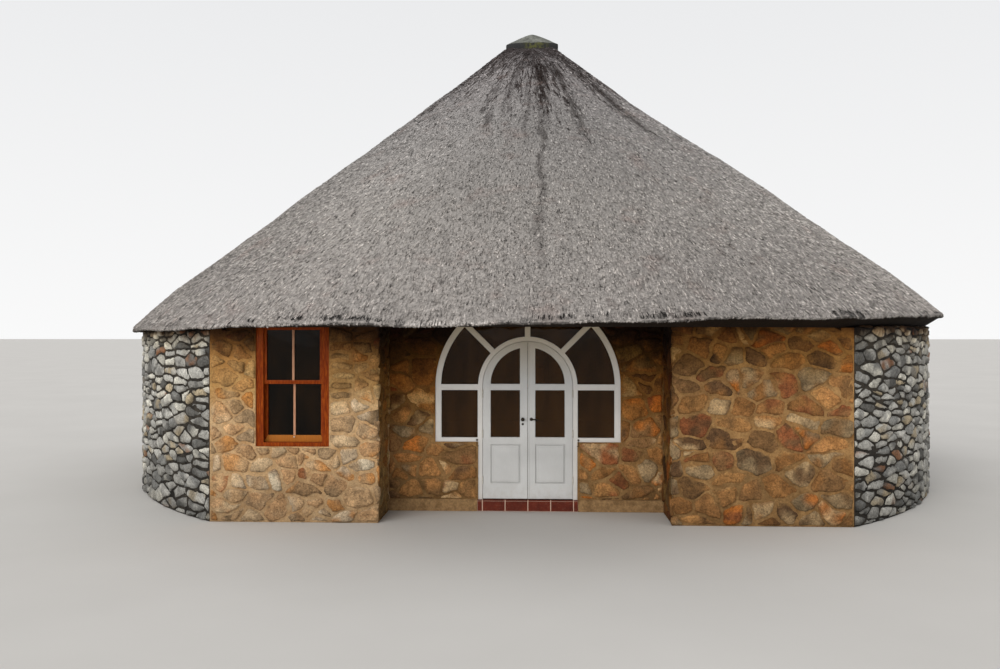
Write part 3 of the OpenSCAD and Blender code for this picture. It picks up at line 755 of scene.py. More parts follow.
def cells_of(seeds, squash):
    """Cells of the seeds, each a convex polygon, in a metric where heights count squash times."""
    reach = 0.75
    points = np.array(seeds)
    scaled = points * [1, squash]
    order = np.argsort(scaled[:, 0])
    sorted_s = scaled[order, 0]
    found = []
    for number, here in enumerate(scaled):
        low, high = np.searchsorted(sorted_s, [here[0] - reach, here[0] + reach])
        others = order[low:high]
        apart = scaled[others] - here
        far = np.einsum("ij,ij->i", apart, apart)
        near = others[(far < reach ** 2) & (far > 1e-10)]
        near = near[np.argsort(np.einsum("ij,ij->i", scaled[near] - here, scaled[near] - here))]
        half = reach / 2
        cell = [(here[0] - half, here[1] - half), (here[0] + half, here[1] - half),
                (here[0] + half, here[1] + half), (here[0] - half, here[1] + half)]
        for other in near:
            gap = scaled[other] - here
            if math.hypot(*gap) > 2 * max(math.dist(p, here) for p in cell):
                break
            cell = clipped(cell, gap, gap @ (here + scaled[other]) / 2)
            if len(cell) < 3:
                break
        found.append([(s, z / squash) for s, z in cell])
    return found


def keep_out(polygon, seed, opening):
    """Cuts a cell back from a rectangular opening, by the side that costs it least."""
    s0, s1, z0, z1 = opening
    sides = (((1, 0), s0), ((-1, 0), -s1), ((0, 1), z0), ((0, -1), -z1))
    pieces = []
    for normal, limit in sides:
        if all(reach_of(p, normal) <= limit for p in polygon):
            return polygon
        if reach_of(seed, normal) < limit:
            pieces.append(clipped(polygon, normal, limit))
    return max((p for p in pieces if len(p) > 2), key=area_of, default=[])


def inset(polygon, amount):
    """A convex polygon with each side moved inwards."""
    result = polygon
    for a, b in zip(polygon, polygon[1:] + polygon[:1]):
        dx, dy = b[0] - a[0], b[1] - a[1]
        size = math.hypot(dx, dy)
        if size < 1e-6:
            continue
        normal = (dy / size, -dx / size)
        result = clipped(result, normal, reach_of(a, normal) - amount)
        if len(result) < 3:
            return []
    return result


def chipped(polygon, rubble, draw):
    """Outline with its corners cut off and its sides broken up, each point moved a little."""
    points = np.array(polygon)
    ahead = np.roll(points, -1, axis=0)
    share = rubble.cut
    points = np.column_stack([(1 - share) * points + share * ahead, share * points + (1 - share) * ahead])
    points = points.reshape(-1, 2)
    outline = []
    for a, b in zip(points, np.roll(points, -1, axis=0)):
        size = math.hypot(*(b - a))
        if size < 0.3 * rubble.step and len(outline) > 3:
            continue
        parts = max(1, round(size / rubble.step))
        for part in range(parts):
            push = draw.gauss(0, 0.09 * rubble.step)
            normal = np.array([b[1] - a[1], a[0] - b[0]]) / max(size, 1e-6)
            outline.append(a + (b - a) * part / parts + normal * push)
    return np.array(outline)


def warped(points, free, strength, seed):
    """Points moved by two sizes of smooth noise, by the share that free gives for each."""
    broad = np.column_stack([noise(points, 0.24, seed), noise(points, 0.24, seed + 1)])
    fine = np.column_stack([noise(points, 0.07, seed + 2), noise(points, 0.07, seed + 3)])
    return points + (broad + 0.35 * fine) * strength * free[:, None]


def room_round(points, face):
    """Distance of each point to the nearest opening or end of its wall."""
    s, z = points.T
    length = face.strip.length
    top = face.strip.top(float(np.clip(s.mean(), 0, length)))
    room = np.minimum.reduce([s, length - s, z - face.foot, top - z])
    for s0, s1, z0, z1 in face.openings:
        room = np.minimum(room, np.maximum.reduce([s0 - s, s - s1, z0 - z, z - z1]))
    if face.arch:
        room = np.minimum(room, np.hypot(s - face.arch[0], z - face.arch[1]) - face.arch[2])
    return np.clip(room, 0, None)


def edge_distance(points, outline):
    """Distance of each point to the outline."""
    side = np.roll(outline, -1, axis=0) - outline
    length = np.einsum("ij,ij->i", side, side)
    share = np.clip(np.einsum("pij,ij->pi", points[:, None, :] - outline[None], side) / length, 0, 1)
    nearest = outline[None] + share[..., None] * side[None]
    return np.sqrt(((points[:, None, :] - nearest) ** 2).sum(-1).min(axis=1))


def inner_ring(outline, depth):
    """Points a little inside the outline, left out where it is too narrow for them."""
    tangent = np.roll(outline, -1, axis=0) - np.roll(outline, 1, axis=0)
    tangent /= np.hypot(*tangent.T)[:, None] + 1e-9
    ring = outline + np.column_stack([-tangent[:, 1], tangent[:, 0]]) * depth
    ring = ring[inside_outline(ring, outline)]
    return ring[edge_distance(ring, outline) > 0.7 * depth]


def stone_surface(outline, rubble, corners, draw):
    """Points and triangles of one stone's face: its outline, two rings inside it and scattered points."""
    low, high = outline.min(axis=0), outline.max(axis=0)
    spacing = 1.9 * rubble.step
    s = low[0] + spacing / 2
    inner = []
    while s < high[0]:
        z = low[1] + spacing / 2
        while z < high[1]:
            inner.append((s + draw.uniform(-0.3, 0.3) * spacing, z + draw.uniform(-0.3, 0.3) * spacing))
            z += spacing
        s += spacing
    inner = np.array(inner).reshape(-1, 2)
    inner = inner[inside_outline(inner, outline)]
    points = [outline, inner_ring(outline, 0.22 * rubble.step), inner_ring(outline, 0.9 * rubble.step)[::2],
              inner[edge_distance(inner, outline) > 1.5 * rubble.step]]
    count = len(outline)
    edges = [(i, (i + 1) % count) for i in range(count)]
    total = sum(len(p) for p in points)
    for corner in corners:
        if low[0] < corner < high[0]:
            reach = np.arange(low[1] - 0.01, high[1] + 0.02, rubble.step)
            points.append(np.column_stack([np.full(len(reach), corner), reach]))
            edges += [(total + i, total + i + 1) for i in range(len(reach) - 1)]
            total += len(reach)
    flat = np.vstack(points)
    found = delaunay_2d_cdt([Vector(p) for p in flat], edges, [], 1, 1e-5, False)
    return np.array([tuple(v) for v in found[0]]), found[2]


def inside_outline(points, outline):
    """Which points lie inside a closed outline."""
    inside = np.zeros(len(points), bool)
    for a, b in zip(outline, np.roll(outline, -1, axis=0)):
        crosses = (a[1] > points[:, 1]) != (b[1] > points[:, 1])
        if crosses.any():
            at = a[0] + (points[:, 1] - a[1]) / (b[1] - a[1] + 1e-12) * (b[0] - a[0])
            inside ^= crosses & (points[:, 0] < at)
    return inside


def picked(rubble, draw):
    """One colour of the rubble's palette, a little lighter or darker."""
    shade = draw.uniform(0.78, 1.2) * rubble.shade
    chosen = draw.choices(rubble.palette, [row[3] for row in rubble.palette])[0]
    return np.array(srgb(*chosen[:3])[:3]) * shade


def stone_rise(flat, distance, rubble, draw):
    """Height of a stone's face over its outline: a broken block with two or three leaning faces."""
    middle = flat.mean(axis=0)
    radius = math.sqrt(np.ptp(flat[:, 0]) * np.ptp(flat[:, 1])) / 2
    relief = draw.uniform(*rubble.relief)
    face = np.full(len(flat), relief)
    for _ in range(3):
        turn = draw.uniform(0, 2 * math.pi)
        across = (flat - middle) @ np.array([math.cos(turn), math.sin(turn)])
        lean = draw.uniform(0.3, 2.0) * rubble.lean
        face = np.minimum(face, relief - lean * (across - draw.uniform(-0.1, 0.6) * radius))
    face = np.maximum(face, 0.25 * relief)
    return (face + RIM_SUNK) * (1 - np.exp(-distance / rubble.soft)) - RIM_SUNK


def stone_tints(flat, distance, rubble, seed, draw):
    """Colour of each point: two colours in patches, rims darkened by painted shade that is deepest along
    the lower edge, mortar smeared over the edge.
    """
    main, patch = picked(rubble, draw), picked(rubble, draw)
    share = np.clip(1.6 * noise(flat, 0.11, seed + 7) + 0.25, 0, 0.85)[:, None]
    colour = main * (1 - share) + patch * share
    low, high = flat[:, 1].min(), flat[:, 1].max()
    under = 1 - (flat[:, 1] - low) / max(high - low, 1e-6)
    # Painted shade round the rim, deepest under the stone
    rim_shade = 0.9 - 0.5 * under ** 1.5
    colour = colour * (rim_shade + (1 - rim_shade) * np.clip(distance / 0.010, 0, 1))[:, None]
    if rubble.slur:
        lumps = 1.3 * noise(flat, 0.14, seed + 8)
        smear = np.clip(0.15 - 0.5 * under - distance / 0.03 + lumps, 0, 1)[:, None]
        colour = colour * (1 - smear) + np.array(rubble.slur[:3]) * smear
    return colour


def cut_cell(cell, seed, face):
    """A stone's cell without what lies past its wall's ends or in an opening."""
    strip = face.strip
    head = strip.top(min(max(seed[0], 0), strip.length))
    for normal, limit in (((-1, 0), 0.0), ((1, 0), strip.length), ((0, -1), -face.foot), ((0, 1), head)):
        cell = clipped(cell, normal, limit)
    for opening in face.openings:
        cell = keep_out(cell, seed, opening) if len(cell) > 2 else []
    if face.arch and len(cell) > 2 and seed[1] > face.arch[1] - 0.1:
        centre = np.array(face.arch[:2])
        outward = np.array(seed) - centre
        outward /= np.hypot(*outward)
        cell = clipped(cell, tuple(-outward), -(outward @ centre + face.arch[2]))
    return cell


def rubble_wall(name, face, rubble, seed, material, slot, rows=()):
    """The stones of one wall face, as one piece."""
    draw = random.Random(seed)
    seeds = stone_seeds(rubble, face, draw, rows)
    places, faces, lift, colours = [], [], [], []
    start = 0
    for place, cell in zip(seeds, cells_of(seeds, rubble.squash)):
        cell = cut_cell(cell, place, face) if len(cell) > 2 else []
        cell = inset(cell, draw.uniform(*rubble.joint) / 2) if len(cell) > 2 else []
        if len(cell) < 3 or area_of(cell) < LEAST_STONE:
            continue
        outline = chipped(cell, rubble, draw)
        free = np.clip(room_round(outline, face) / WARP_ROOM, 0, 1)
        outline = warped(outline, free, rubble.warp, seed)
        flat, triangles = stone_surface(outline, rubble, face.strip.corners, draw)
        if not len(triangles):
            continue
        distance = edge_distance(flat, outline)
        places.append(flat)
        lift.append(stone_rise(flat, distance, rubble, draw))
        faces += [[corner + start for corner in triangle] for triangle in triangles]
        colours.append(stone_tints(flat, distance, rubble, seed, draw))
        start += len(flat)
    flat = np.vstack(places)
    height = np.concatenate(lift)
    rough = np.clip((height + RIM_SUNK) / 0.02, 0, 1)
    height = height + rough * (0.008 * noise(flat, 0.09, seed) + 0.004 * noise(flat, 0.04, seed + 1))
    solid = face.strip.place(flat[:, 0], np.maximum(flat[:, 1], 0.001), height)
    tint(mesh_piece(name, solid, faces, material, slot), np.vstack(colours))


def dress(nodes, material):
    """Gives CAD nodes a material."""
    for node in nodes:
        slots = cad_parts[node].data.materials
        slots.clear()
        slots.append(material)


def dress_walls():
    """Mortar on the wall solids outside, and plaster inside."""
    tan = mortar_finish("tan_mortar", srgb(216, 182, 138), srgb(194, 154, 108), front_shade_and_foot)
    dress(["front_wall_left", "porch_cheek_left"], tan)
    brown = mortar_finish("brown_mortar", srgb(180, 140, 90), srgb(142, 104, 62), front_shade_and_foot)
    dress(["front_wall_right", "porch_cheek_right"], brown)
    dress(["porch_wall_left", "porch_wall_right", "porch_wall_arch"], brown)
    # The round wall is dry-laid: the near-black colour of its open joints is painted shade in the gaps
    # between the stones
    shaded_open_joints = mortar_finish("shaded_open_joints", srgb(72, 66, 58), srgb(36, 33, 29), round_shade_and_foot)
    dress([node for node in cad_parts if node.startswith("wall_")], shaded_open_joints)


# Heights of the courses of slabs right of the front window
SLAB_COURSES = (1.42, 1.52, 1.64, 1.74, 1.87, 1.98, 2.08, 2.19)


def build_front_stones(stone):
    """Stones of the two flat front walls and of the porch's cheeks."""
    left = Strip([(-CORNER_X, FRONT_Y), (PORCH_LEFT, FRONT_Y), (PORCH_LEFT, RECESS_Y)])
    start, end = WIN_X - WIN_W / 2 + CORNER_X, WIN_X + WIN_W / 2 + CORNER_X
    window = (start, end, WIN_Z, WIN_Z + WIN_H_FRONT)
    # Thin stones under the window, and the slabs
    thin = [(start - 0.02, end + 0.02, WIN_Z - 0.035, 0.22)]
    thin += [(end, CORNER_X + PORCH_LEFT, z, 0.3) for z in SLAB_COURSES]
    rubble_wall("stones_front_left", Face(left, [window]), TAN, 11, stone, "ochre_stone", thin)
    right = Strip([(PORCH_RIGHT, RECESS_Y), (PORCH_RIGHT, FRONT_Y), (CORNER_X, FRONT_Y)])
    rubble_wall("stones_front_right", Face(right), BROWN._replace(shade=0.9), 12, stone, "ochre_stone")


def build_porch_stones(stone):
    """Stones of the porch's back wall, round the door, the side lights and the arch."""
    recess = Strip([(PORCH_LEFT, RECESS_Y), (PORCH_RIGHT, RECESS_Y)])
    centre = -PORCH_LEFT
    doorway = (centre - STEP_HALF, centre + STEP_HALF, -1.0, DADO_Z)
    lights = (centre - ARCH_R, centre + ARCH_R, DADO_Z, SPRING_Z)
    porch = Face(recess, [doorway, lights], (centre, SPRING_Z, ARCH_R), PLINTH_H)
    rubble_wall("stones_porch", porch, BROWN._replace(shade=1.25), 13, stone, "ochre_stone")


def build_round_stones():
    """Stones of the round wall, left out at its three windows."""
    ring = RoundStrip()
    openings = []
    for angle, height in WINDOWS[1:]:
        middle = ring.at(angle)
        openings.append((middle - WIN_W / 2, middle + WIN_W / 2, WIN_Z, WIN_Z + height))
    stone = stone_finish("grey_fieldstone", srgb(110, 104, 92), round_shade_and_foot)
    rubble_wall("stones_round_wall", Face(ring, openings), GREY, 14, stone, "grey_stone")


# Thatch

# Rise of the thatch a metre to the right, on each side of the middle
TILT_RIGHT = 0.0265
TILT_LEFT = 0.0063
# How the eave line rises and falls over the front
EAVE_LINE_X = (-6.5, -3.7, -3.0, -1.95, -1.5, -0.5, 0.6, 1.2, 3.0, 6.5)
EAVE_LINE_RISE = (0.0, 0.008, 0.032, 0.048, 0.008, 0.0, 0.02, 0.02, 0.008, 0.0)
# Share by which the roof's left half is narrower, and how far the coat lies over the solid's surface
NARROWER_LEFT = 0.010
COAT_RAISE = 0.012
# Depths of the coat's surface under a true cone
SAG_RADII = (0.45, 1.2, 2.2, 3.4, 4.6, 5.9)
SAG_DEPTHS = (0.0, 0.027, 0.041, 0.009, 0.011, 0.0)
# Slope of the ridge's two flat faces, and radius of the coat's innermost ring
RIDGE_SLOPE = 0.62
CROWN_R = 0.16
# Points round the coat, strokes in each of their pieces, and ends of straw in the fringe
COAT_COUNT = 560
STROKES = 46500
STROKE_PIECES = 3
FRINGE_COUNT = 13000
# Tones of the coat between the strokes, darker as painted shade of the gaps; of dark holes in it and in the
# strokes, painted shade; and of its underside, painted shade under the eave
GAP_SHADE_TONE = 0.78
HOLE_SHADE_TONE = 0.15
STRAW_HOLE_SHADE_TONE = 0.08
UNDERSIDE_SHADE = (0.035, 0.02, 0.01)


def spread(angle):
    """Share of a true cone's width that the roof has at an angle."""
    return 1 + NARROWER_LEFT * np.minimum(np.cos(angle), 0)


def tilted(angle, radius):
    """Rise of the thatch from its settled left side to its right one, and of the eave over the front."""
    x = radius * np.cos(angle)
    rise = np.where(x > 0, TILT_RIGHT, TILT_LEFT) * x * np.clip((radius - 0.5) / 3, 0, 1)
    front = np.where(np.sin(angle) < 0, np.interp(x, EAVE_LINE_X, EAVE_LINE_RISE), 0.0)
    return rise + front * np.clip((radius - 5.0) / 1.2, 0, 1)


def coat_height(radius):
    """Height of the thatch's outer surface over the radius: a slightly hollow cone with a dressed eave."""
    def cone(r):
        return EAVE_Z + (CUT_R - r) * RISE + THATCH_T / math.cos(PITCH) + COAT_RAISE
    hollow = cone(radius) - np.interp(radius, SAG_RADII, SAG_DEPTHS)
    lip = EAVE_Z + LIP_H
    dressed = lip + (EAVE_R - radius) * (cone(DRESSED_R) - lip) / (EAVE_R - DRESSED_R)
    return np.where(radius < DRESSED_R, hollow, dressed)


def ridge_height(y):
    """Height of the two flat slopes that turn the top into a short ridge."""
    return CAP_LOW_Z - RIDGE_SLOPE * (np.abs(y) - CAP_DEPTH)


def coat_waves(angle, radius):
    """Undulation of the coat, out of its surface."""
    flat = turned(angle, radius, radius)[:, :2]
    return 0.014 * noise(flat, 0.9, 21) + 0.008 * noise(flat, 0.33, 22) + 0.006 * noise(flat, 0.14, 23)


def coat_place(angle, radius, lift):
    """Point of the outer surface, lifted square to the slope."""
    wave = coat_waves(angle, radius) + lift
    z = np.minimum(coat_height(radius), ridge_height(radius * np.sin(angle))) + tilted(angle, radius)
    wide = np.minimum(radius * spread(angle) + wave * math.sin(PITCH), EAVE_R)
    return turned(angle, wide, z + wave * math.cos(PITCH))


def turned(angle, radius, z):
    """Points at angles round the roof axis."""
    return np.column_stack([radius * np.cos(angle), radius * np.sin(angle), z])


def around(count):
    """Angles evenly spaced round a circle."""
    return np.arange(count) * 2 * math.pi / count


def ring_faces(rings, count):
    """Quads between successive closed rings of points."""
    here = np.arange(count)
    ahead = (here + 1) % count
    quads = np.column_stack([here, ahead, count + ahead, count + here])
    return np.vstack([quads + ring * count for ring in range(rings - 1)])


def torus_faces(rings, count):
    """Quads between closed rings of points of which the last joins the first."""
    return ring_faces(rings + 1, count) % (rings * count)


def joined(parts):
    """Several (points, faces) as one."""
    starts = np.cumsum([0] + [len(points) for points, faces in parts])
    return (np.vstack([points for points, faces in parts]),
            np.vstack([faces + start for (points, faces), start in zip(parts, starts)]))


def eave_wave(angle):
    """Rise and fall of the eave's lower edge."""
    flat = turned(angle, EAVE_R, angle)[:, :2]
    return 0.014 * noise(flat, 1.3, 31) + 0.010 * noise(flat, 0.4, 32) + 0.006 * noise(flat, 0.12, 33)


def build_thatch_coat(material):
    """The thatch as one closed coat: outer surface, ragged lip, level cut under the eave and inner cone."""
    angle = around(COAT_COUNT)
    flat = np.zeros(COAT_COUNT)
    radii = np.concatenate([np.linspace(CROWN_R, DRESSED_R, 46), np.linspace(DRESSED_R, EAVE_R, 8)[1:]])
    rings = [coat_place(angle, flat + r, 0.0) for r in radii]
    wave = eave_wave(angle)
    rings[-1][:, 2] += wave
    rings[-2][:, 2] += wave * 0.5
    for radius, drop in ((EAVE_R - 0.012, 0.0), (EAVE_R - 0.05, 0.004)):
        rings.append(turned(angle, radius * spread(angle), EAVE_Z + drop + wave + tilted(angle, EAVE_R)))
    for radius in np.linspace(CUT_R, 0.02, 14):
        z = min(EAVE_Z + (CUT_R - radius) * RISE, CAP_LOW_Z - 0.2)
        rings.append(turned(angle, radius, flat + z))
    points = np.vstack(rings)
    coat = mesh_piece("thatch_coat", points, ring_faces(len(rings), COAT_COUNT), material, "thatch")
    # The coat is darker between the strokes, near-black in holes and under the eave: painted shade
    holes = shaded_holes(np.tile(angle, len(radii)), np.repeat(radii, COAT_COUNT))
    colours = np.tile(UNDERSIDE_SHADE, (len(points), 1))
    colours[:len(holes)] = np.where(holes, HOLE_SHADE_TONE, GAP_SHADE_TONE)[:, None]
    tint(coat, colours)
    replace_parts(coat, "thatch")


def wedges(name, corners, sides, tone, material):
    """Small closed wedges, each with four corners and a tone of its own."""
    points = np.stack(corners, axis=1).reshape(-1, 3)
    faces = (np.arange(len(tone))[:, None, None] * 4 + np.array(sides)).reshape(-1, 3)
    tint(mesh_piece(name, points, faces, material, "thatch", smooth=False), np.repeat(tone, 4))


STRAW_SIDES = ((0, 1, 3), (0, 3, 2), (0, 2, 1), (1, 2, 3))


def straws(name, angle, radius, long, wide, high, turn, tone, material):
    """Strokes of straw down the slope: slim wedges with a raised back, highest at the cut lower end."""
    down = 1 / np.maximum(radius, 0.05)
    half = 0.5 * wide * down
    run = long * math.cos(PITCH)
    slant = turn * long * down
    limit = EAVE_R + 0.018
    sunk = np.full(len(angle), -0.004)
    head = coat_place(angle, np.maximum(radius - 0.5 * run, 0.1), 0.3 * high)
    shoulder_r = np.minimum(radius + 0.2 * run, limit)
    left = coat_place(angle + 0.7 * slant - half, shoulder_r, sunk)
    right = coat_place(angle + 0.7 * slant + half, shoulder_r, sunk)
    tail = coat_place(angle + slant, np.minimum(radius + 0.5 * run, limit), high)
    wedges(name, [head, left, right, tail], STRAW_SIDES, tone, material)


def shaded_holes(angle, radius):
    """Where the straw over the eave shows dark holes, painted shade in groups along the edge."""
    flat = turned(angle, radius, radius)[:, :2]
    near_edge = np.exp(-((radius - EAVE_R + 0.04) / 0.035) ** 2)
    return near_edge * (noise(flat, 0.9, 51) + 0.9 * noise(flat, 0.07, 52)) > 0.38


def build_straw(material):
    """All strokes over the coat, in pieces of like size."""
    draw = np.random.default_rng(5)
    for number in range(STROKE_PIECES):
        radius = np.sqrt(draw.uniform(0.3 ** 2, 6.47 ** 2, STROKES))
        angle = draw.uniform(0, 2 * math.pi, STROKES)
        long = draw.uniform(0.04, 0.09, STROKES)
        wide = draw.uniform(0.013, 0.025, STROKES)
        high = draw.uniform(0.004, 0.016, STROKES)
        turn = draw.normal(0, 0.18, STROKES)
        tone = np.clip(draw.normal(1.0, 0.36, STROKES), 0.25, 1.9)
        # Strokes over holes are near-black: painted shade
        tone = np.where(shaded_holes(angle, radius), STRAW_HOLE_SHADE_TONE, tone)
        straws("thatch_straw_%d" % (number + 1), angle, radius, long, wide, high, turn, tone, material)


FRINGE_SIDES = ((0, 1, 2), (0, 3, 1), (0, 2, 3), (1, 3, 2))


def build_fringe(material):
    """Ragged straw ends along the lower edge of the eave."""
    draw = np.random.default_rng(6)
    count = FRINGE_COUNT
    angle = draw.uniform(0, 2 * math.pi, count)
    inner = draw.uniform(0.02, 0.075, count)
    reach = draw.uniform(-0.010, 0.010, count)
    half = draw.uniform(0.006, 0.014, count) / EAVE_R
    low = EAVE_Z + tilted(angle, EAVE_R) + eave_wave(angle) + draw.uniform(-0.003, 0.012, count)
    low -= np.where(draw.random(count) < 0.02, draw.uniform(0.0, 0.012, count), 0.0)
    tail_r = np.minimum((EAVE_R + reach) * spread(angle), EAVE_R)
    head = coat_place(angle, EAVE_R - inner, np.full(count, 0.004))
    left = turned(angle - half, tail_r, low + 0.012)
    right = turned(angle + half, tail_r, low + 0.012)
    back = turned(angle, tail_r - 0.015, low - 0.002)
    tone = np.clip(draw.normal(1.1, 0.26, count), 0.4, 1.7)
    # Some ends are near-black, and ends over holes darker: painted shade of holes in the fringe
    tone = np.where(draw.random(count) < 0.12, 0.25, tone)
    tone *= np.where(shaded_holes(angle, EAVE_R - inner), 0.35, 1.0)
    wedges("thatch_fringe", [head, left, right, back], FRINGE_SIDES, tone, material)


LATH_R = 0.015
LATH_PITCH = 0.28
LATH_LOW_R = CUT_R - 0.12
LATH_HIGH_R = 0.6
LATH_POINTS = 120
LATH_SIDES = 6


def build_laths(material):
    """The laths under the thatch as rings of slightly uneven sticks."""
    angle = around(LATH_POINTS)
    turn = around(LATH_SIDES)
    rings = []
    radius = LATH_LOW_R
    while radius > LATH_HIGH_R:
        z = EAVE_Z + (CUT_R - radius) * RISE - (LATH_R + 0.0005) / math.cos(PITCH)
        thick = LATH_R * (0.88 + 0.1 * noise(turned(angle, radius, angle)[:, :2], 0.35, 61))[:, None]
        reach = (radius + thick * np.cos(turn)).ravel()
        ring = turned(np.repeat(angle, LATH_SIDES), reach, (z + thick * np.sin(turn)).ravel())
        rings.append((ring, torus_faces(LATH_POINTS, LATH_SIDES)))
        radius -= LATH_PITCH * math.cos(PITCH)
    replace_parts(mesh_piece("lath_rings", *joined(rings), material, "poles"), "laths")


CAP_COUNT = 96
# Under 1, so that the cap's plan is an oval a little squarer than an ellipse
CAP_SQUARED = 0.85


def build_cap():
    """Cement cap over the short ridge: an upright band with uneven edges under a low hipped cone."""
    count = CAP_COUNT
    circle = turned(around(count), 1.0, around(count))[:, :2]
    side_x, side_y = (np.sign(circle) * np.abs(circle) ** CAP_SQUARED).T

    def ring(share, z, push=0.0):
        """Points at a share of the cap's size, pushed out."""
        x = CAP_X + (CAP_HALF * share + push) * side_x
        y = (CAP_DEPTH * share + push) * side_y
        return np.column_stack([x, y, np.full(count, z)])

    rings = [ring(0.85, CAP_LOW_Z - 0.02), ring(1.0, CAP_LOW_Z - 0.02, -0.004),
             ring(1.0, CAP_LOW_Z + 0.01), ring(1.0, CAP_LOW_Z + 0.07, 0.003),
             ring(1.0, CAP_RIM_Z - 0.02, 0.002), ring(1.0, CAP_RIM_Z)]
    for share in (0.97, 0.85, 0.7, 0.55, 0.4, 0.26, 0.14, 0.06):
        rise = (CAP_TOP_Z - CAP_RIM_Z) * (1 - share)
        rings.append(ring(share, CAP_RIM_Z + rise - 0.024 * (1 - share) ** 6))
    points = np.vstack(rings)
    flat = (points - [CAP_X, 0, 0]) * [1, 1, 0]
    out = flat / (np.linalg.norm(flat, axis=1)[:, None] + 1e-6)
    points += out * (0.008 * noise(points, 0.11, 41) + 0.004 * noise(points, 0.045, 42))[:, None]
    points[:, 2] += 0.006 * noise(points, 0.16, 43) * (points[:, 2] < CAP_RIM_Z + 0.05)
    faces = ring_faces(len(rings), count).tolist()
    faces.append(list(range(len(points) - count, len(points))))
    faces.append(list(range(count))[::-1])
    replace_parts(mesh_piece("cement_cap", points, faces, cap_finish(), "cement"), "ridge_cap")


# Joinery

# Points nearer than this are one; then angles between faces that are flat, eased, or left sharp
WELD = 2e-5
FLAT_ANGLE = math.radians(0.6)
EASED_ANGLE = math.radians(28)
SHARP_ANGLE = math.radians(22)
# Widths of the eased edges, and depths of the beads behind the faces of the leaves and the screen
FRAME_EASE = 0.003
LEAF_EASE = 0.0022
SASH_EASE = 0.002
LEAF_BEAD_SUNK = 0.003
SCREEN_BEAD_SUNK = 0.004


def bevelled(node, name, width, material, body="house"):
    """Copy of a CAD node with its edges eased, which stands for the node."""
    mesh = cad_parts[node].data.copy()
    work = bmesh.new()
    work.from_mesh(mesh)
    bmesh.ops.remove_doubles(work, verts=work.verts, dist=WELD)
    bmesh.ops.dissolve_limit(work, angle_limit=FLAT_ANGLE, verts=work.verts, edges=work.edges)
    sharp = [e for e in work.edges if len(e.link_faces) == 2 and e.calc_face_angle(0) > EASED_ANGLE]
    bmesh.ops.bevel(work, geom=sharp, offset=width, offset_type="OFFSET", segments=2, profile=0.6,
                    affect="EDGES", clamp_overlap=True)
    bmesh.ops.triangulate(work, faces=[f for f in work.faces if len(f.verts) > 4])
    work.to_mesh(mesh)
    work.free()
    mesh.polygons.foreach_set("use_smooth", [True] * len(mesh.polygons))
    mesh.set_sharp_from_angle(angle=SHARP_ANGLE)
    piece = add_piece(name, mesh, material, body)
    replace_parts(piece, node)
    return piece


def offset_loop(points, amount):
    """Closed loop of (x, z) points, run anticlockwise, moved inwards with mitred corners."""
    ahead = np.roll(points, -1, axis=0) - points
    ahead /= np.hypot(*ahead.T)[:, None]
    behind = np.roll(ahead, 1, axis=0)
    inward = np.column_stack([-ahead[:, 1], ahead[:, 0]])
    before = np.column_stack([-behind[:, 1], behind[:, 0]])
    mitre = (inward + before) / (1 + np.einsum("ij,ij->i", inward, before))[:, None]
    return points + mitre * amount


def bead_loop(loop, profile, front_y, towards):
    """A moulding swept round a loop; profile is a closed outline of (inwards, depth) pairs."""
    rows = []
    for inwards, depth in profile:
        flat = offset_loop(loop, inwards)
        rows.append(np.insert(flat, 1, front_y + towards * depth, axis=1))
    return np.vstack(rows), torus_faces(len(rows), len(loop))


def arc_points(centre, radius, start, stop, count):
    """Points of an arc from start to stop, in degrees."""
    angles = np.radians(np.linspace(start, stop, count))
    return np.column_stack([centre[0] + radius * np.cos(angles), centre[1] + radius * np.sin(angles)])


def rectangle(x0, x1, z0, z1):
    """Corners of a rectangle, anticlockwise."""
    return np.array([(x0, z0), (x1, z0), (x1, z1), (x0, z1)])


# Outlines of the beads round the lights and of the mouldings round the panels
OVOLO = [(-0.001, 0.0), (0.002, 0.0), (0.0045, 0.002), (0.006, 0.006), (0.006, 0.012), (-0.001, 0.012)]
PANEL_MOULD = [(-0.001, -0.002), (0.004, -0.004), (0.007, 0.0), (0.008, 0.0125), (-0.001, 0.0125)]


def leaf_light_loops():
    """The outlines of the right leaf's lower and upper light."""
    lower = rectangle(STILE_X, LIGHT_R, LIGHT_LOW_Z, BAR_Z - BAR_W / 2)
    low = BAR_Z + BAR_W / 2
    start = math.degrees(math.asin((low - SPRING_Z - LIGHT_RISE) / LIGHT_R))
    stop = math.degrees(math.acos(STILE_X / LIGHT_R))
    curve = arc_points((0, SPRING_Z + LIGHT_RISE), LIGHT_R, start, stop, 28)
    upper = np.vstack([[(STILE_X, low)], curve])
    return lower, upper


def mirrored(loop):
    """A loop on the other side of the middle, still anticlockwise."""
    return (loop * [-1, 1])[::-1]


def build_leaf(side, paint):
    """One door leaf: eased edges, beads round its lights and mouldings round its panel, on both faces."""
    body = "door_" + side
    bevelled("door_leaf_" + side, "leaf_" + side, LEAF_EASE, paint, body=body)
    loops = [*leaf_light_loops(), rectangle(STILE_X, LIGHT_R, PANEL_LOW_Z, PANEL_TOP_Z)]
    if side == "left":
        loops = [mirrored(loop) for loop in loops]
    *lights, panel = loops
    parts = []
    for face_y, towards in ((JOIN_Y, 1), (JOIN_Y + LEAF_T, -1)):
        parts += [bead_loop(loop, OVOLO, face_y + towards * LEAF_BEAD_SUNK, towards) for loop in lights]
        parts.append(bead_loop(panel, PANEL_MOULD, face_y, towards))
    mesh_piece("leaf_mouldings_" + side, *joined(parts), paint, "white_timber", body, smooth=False)


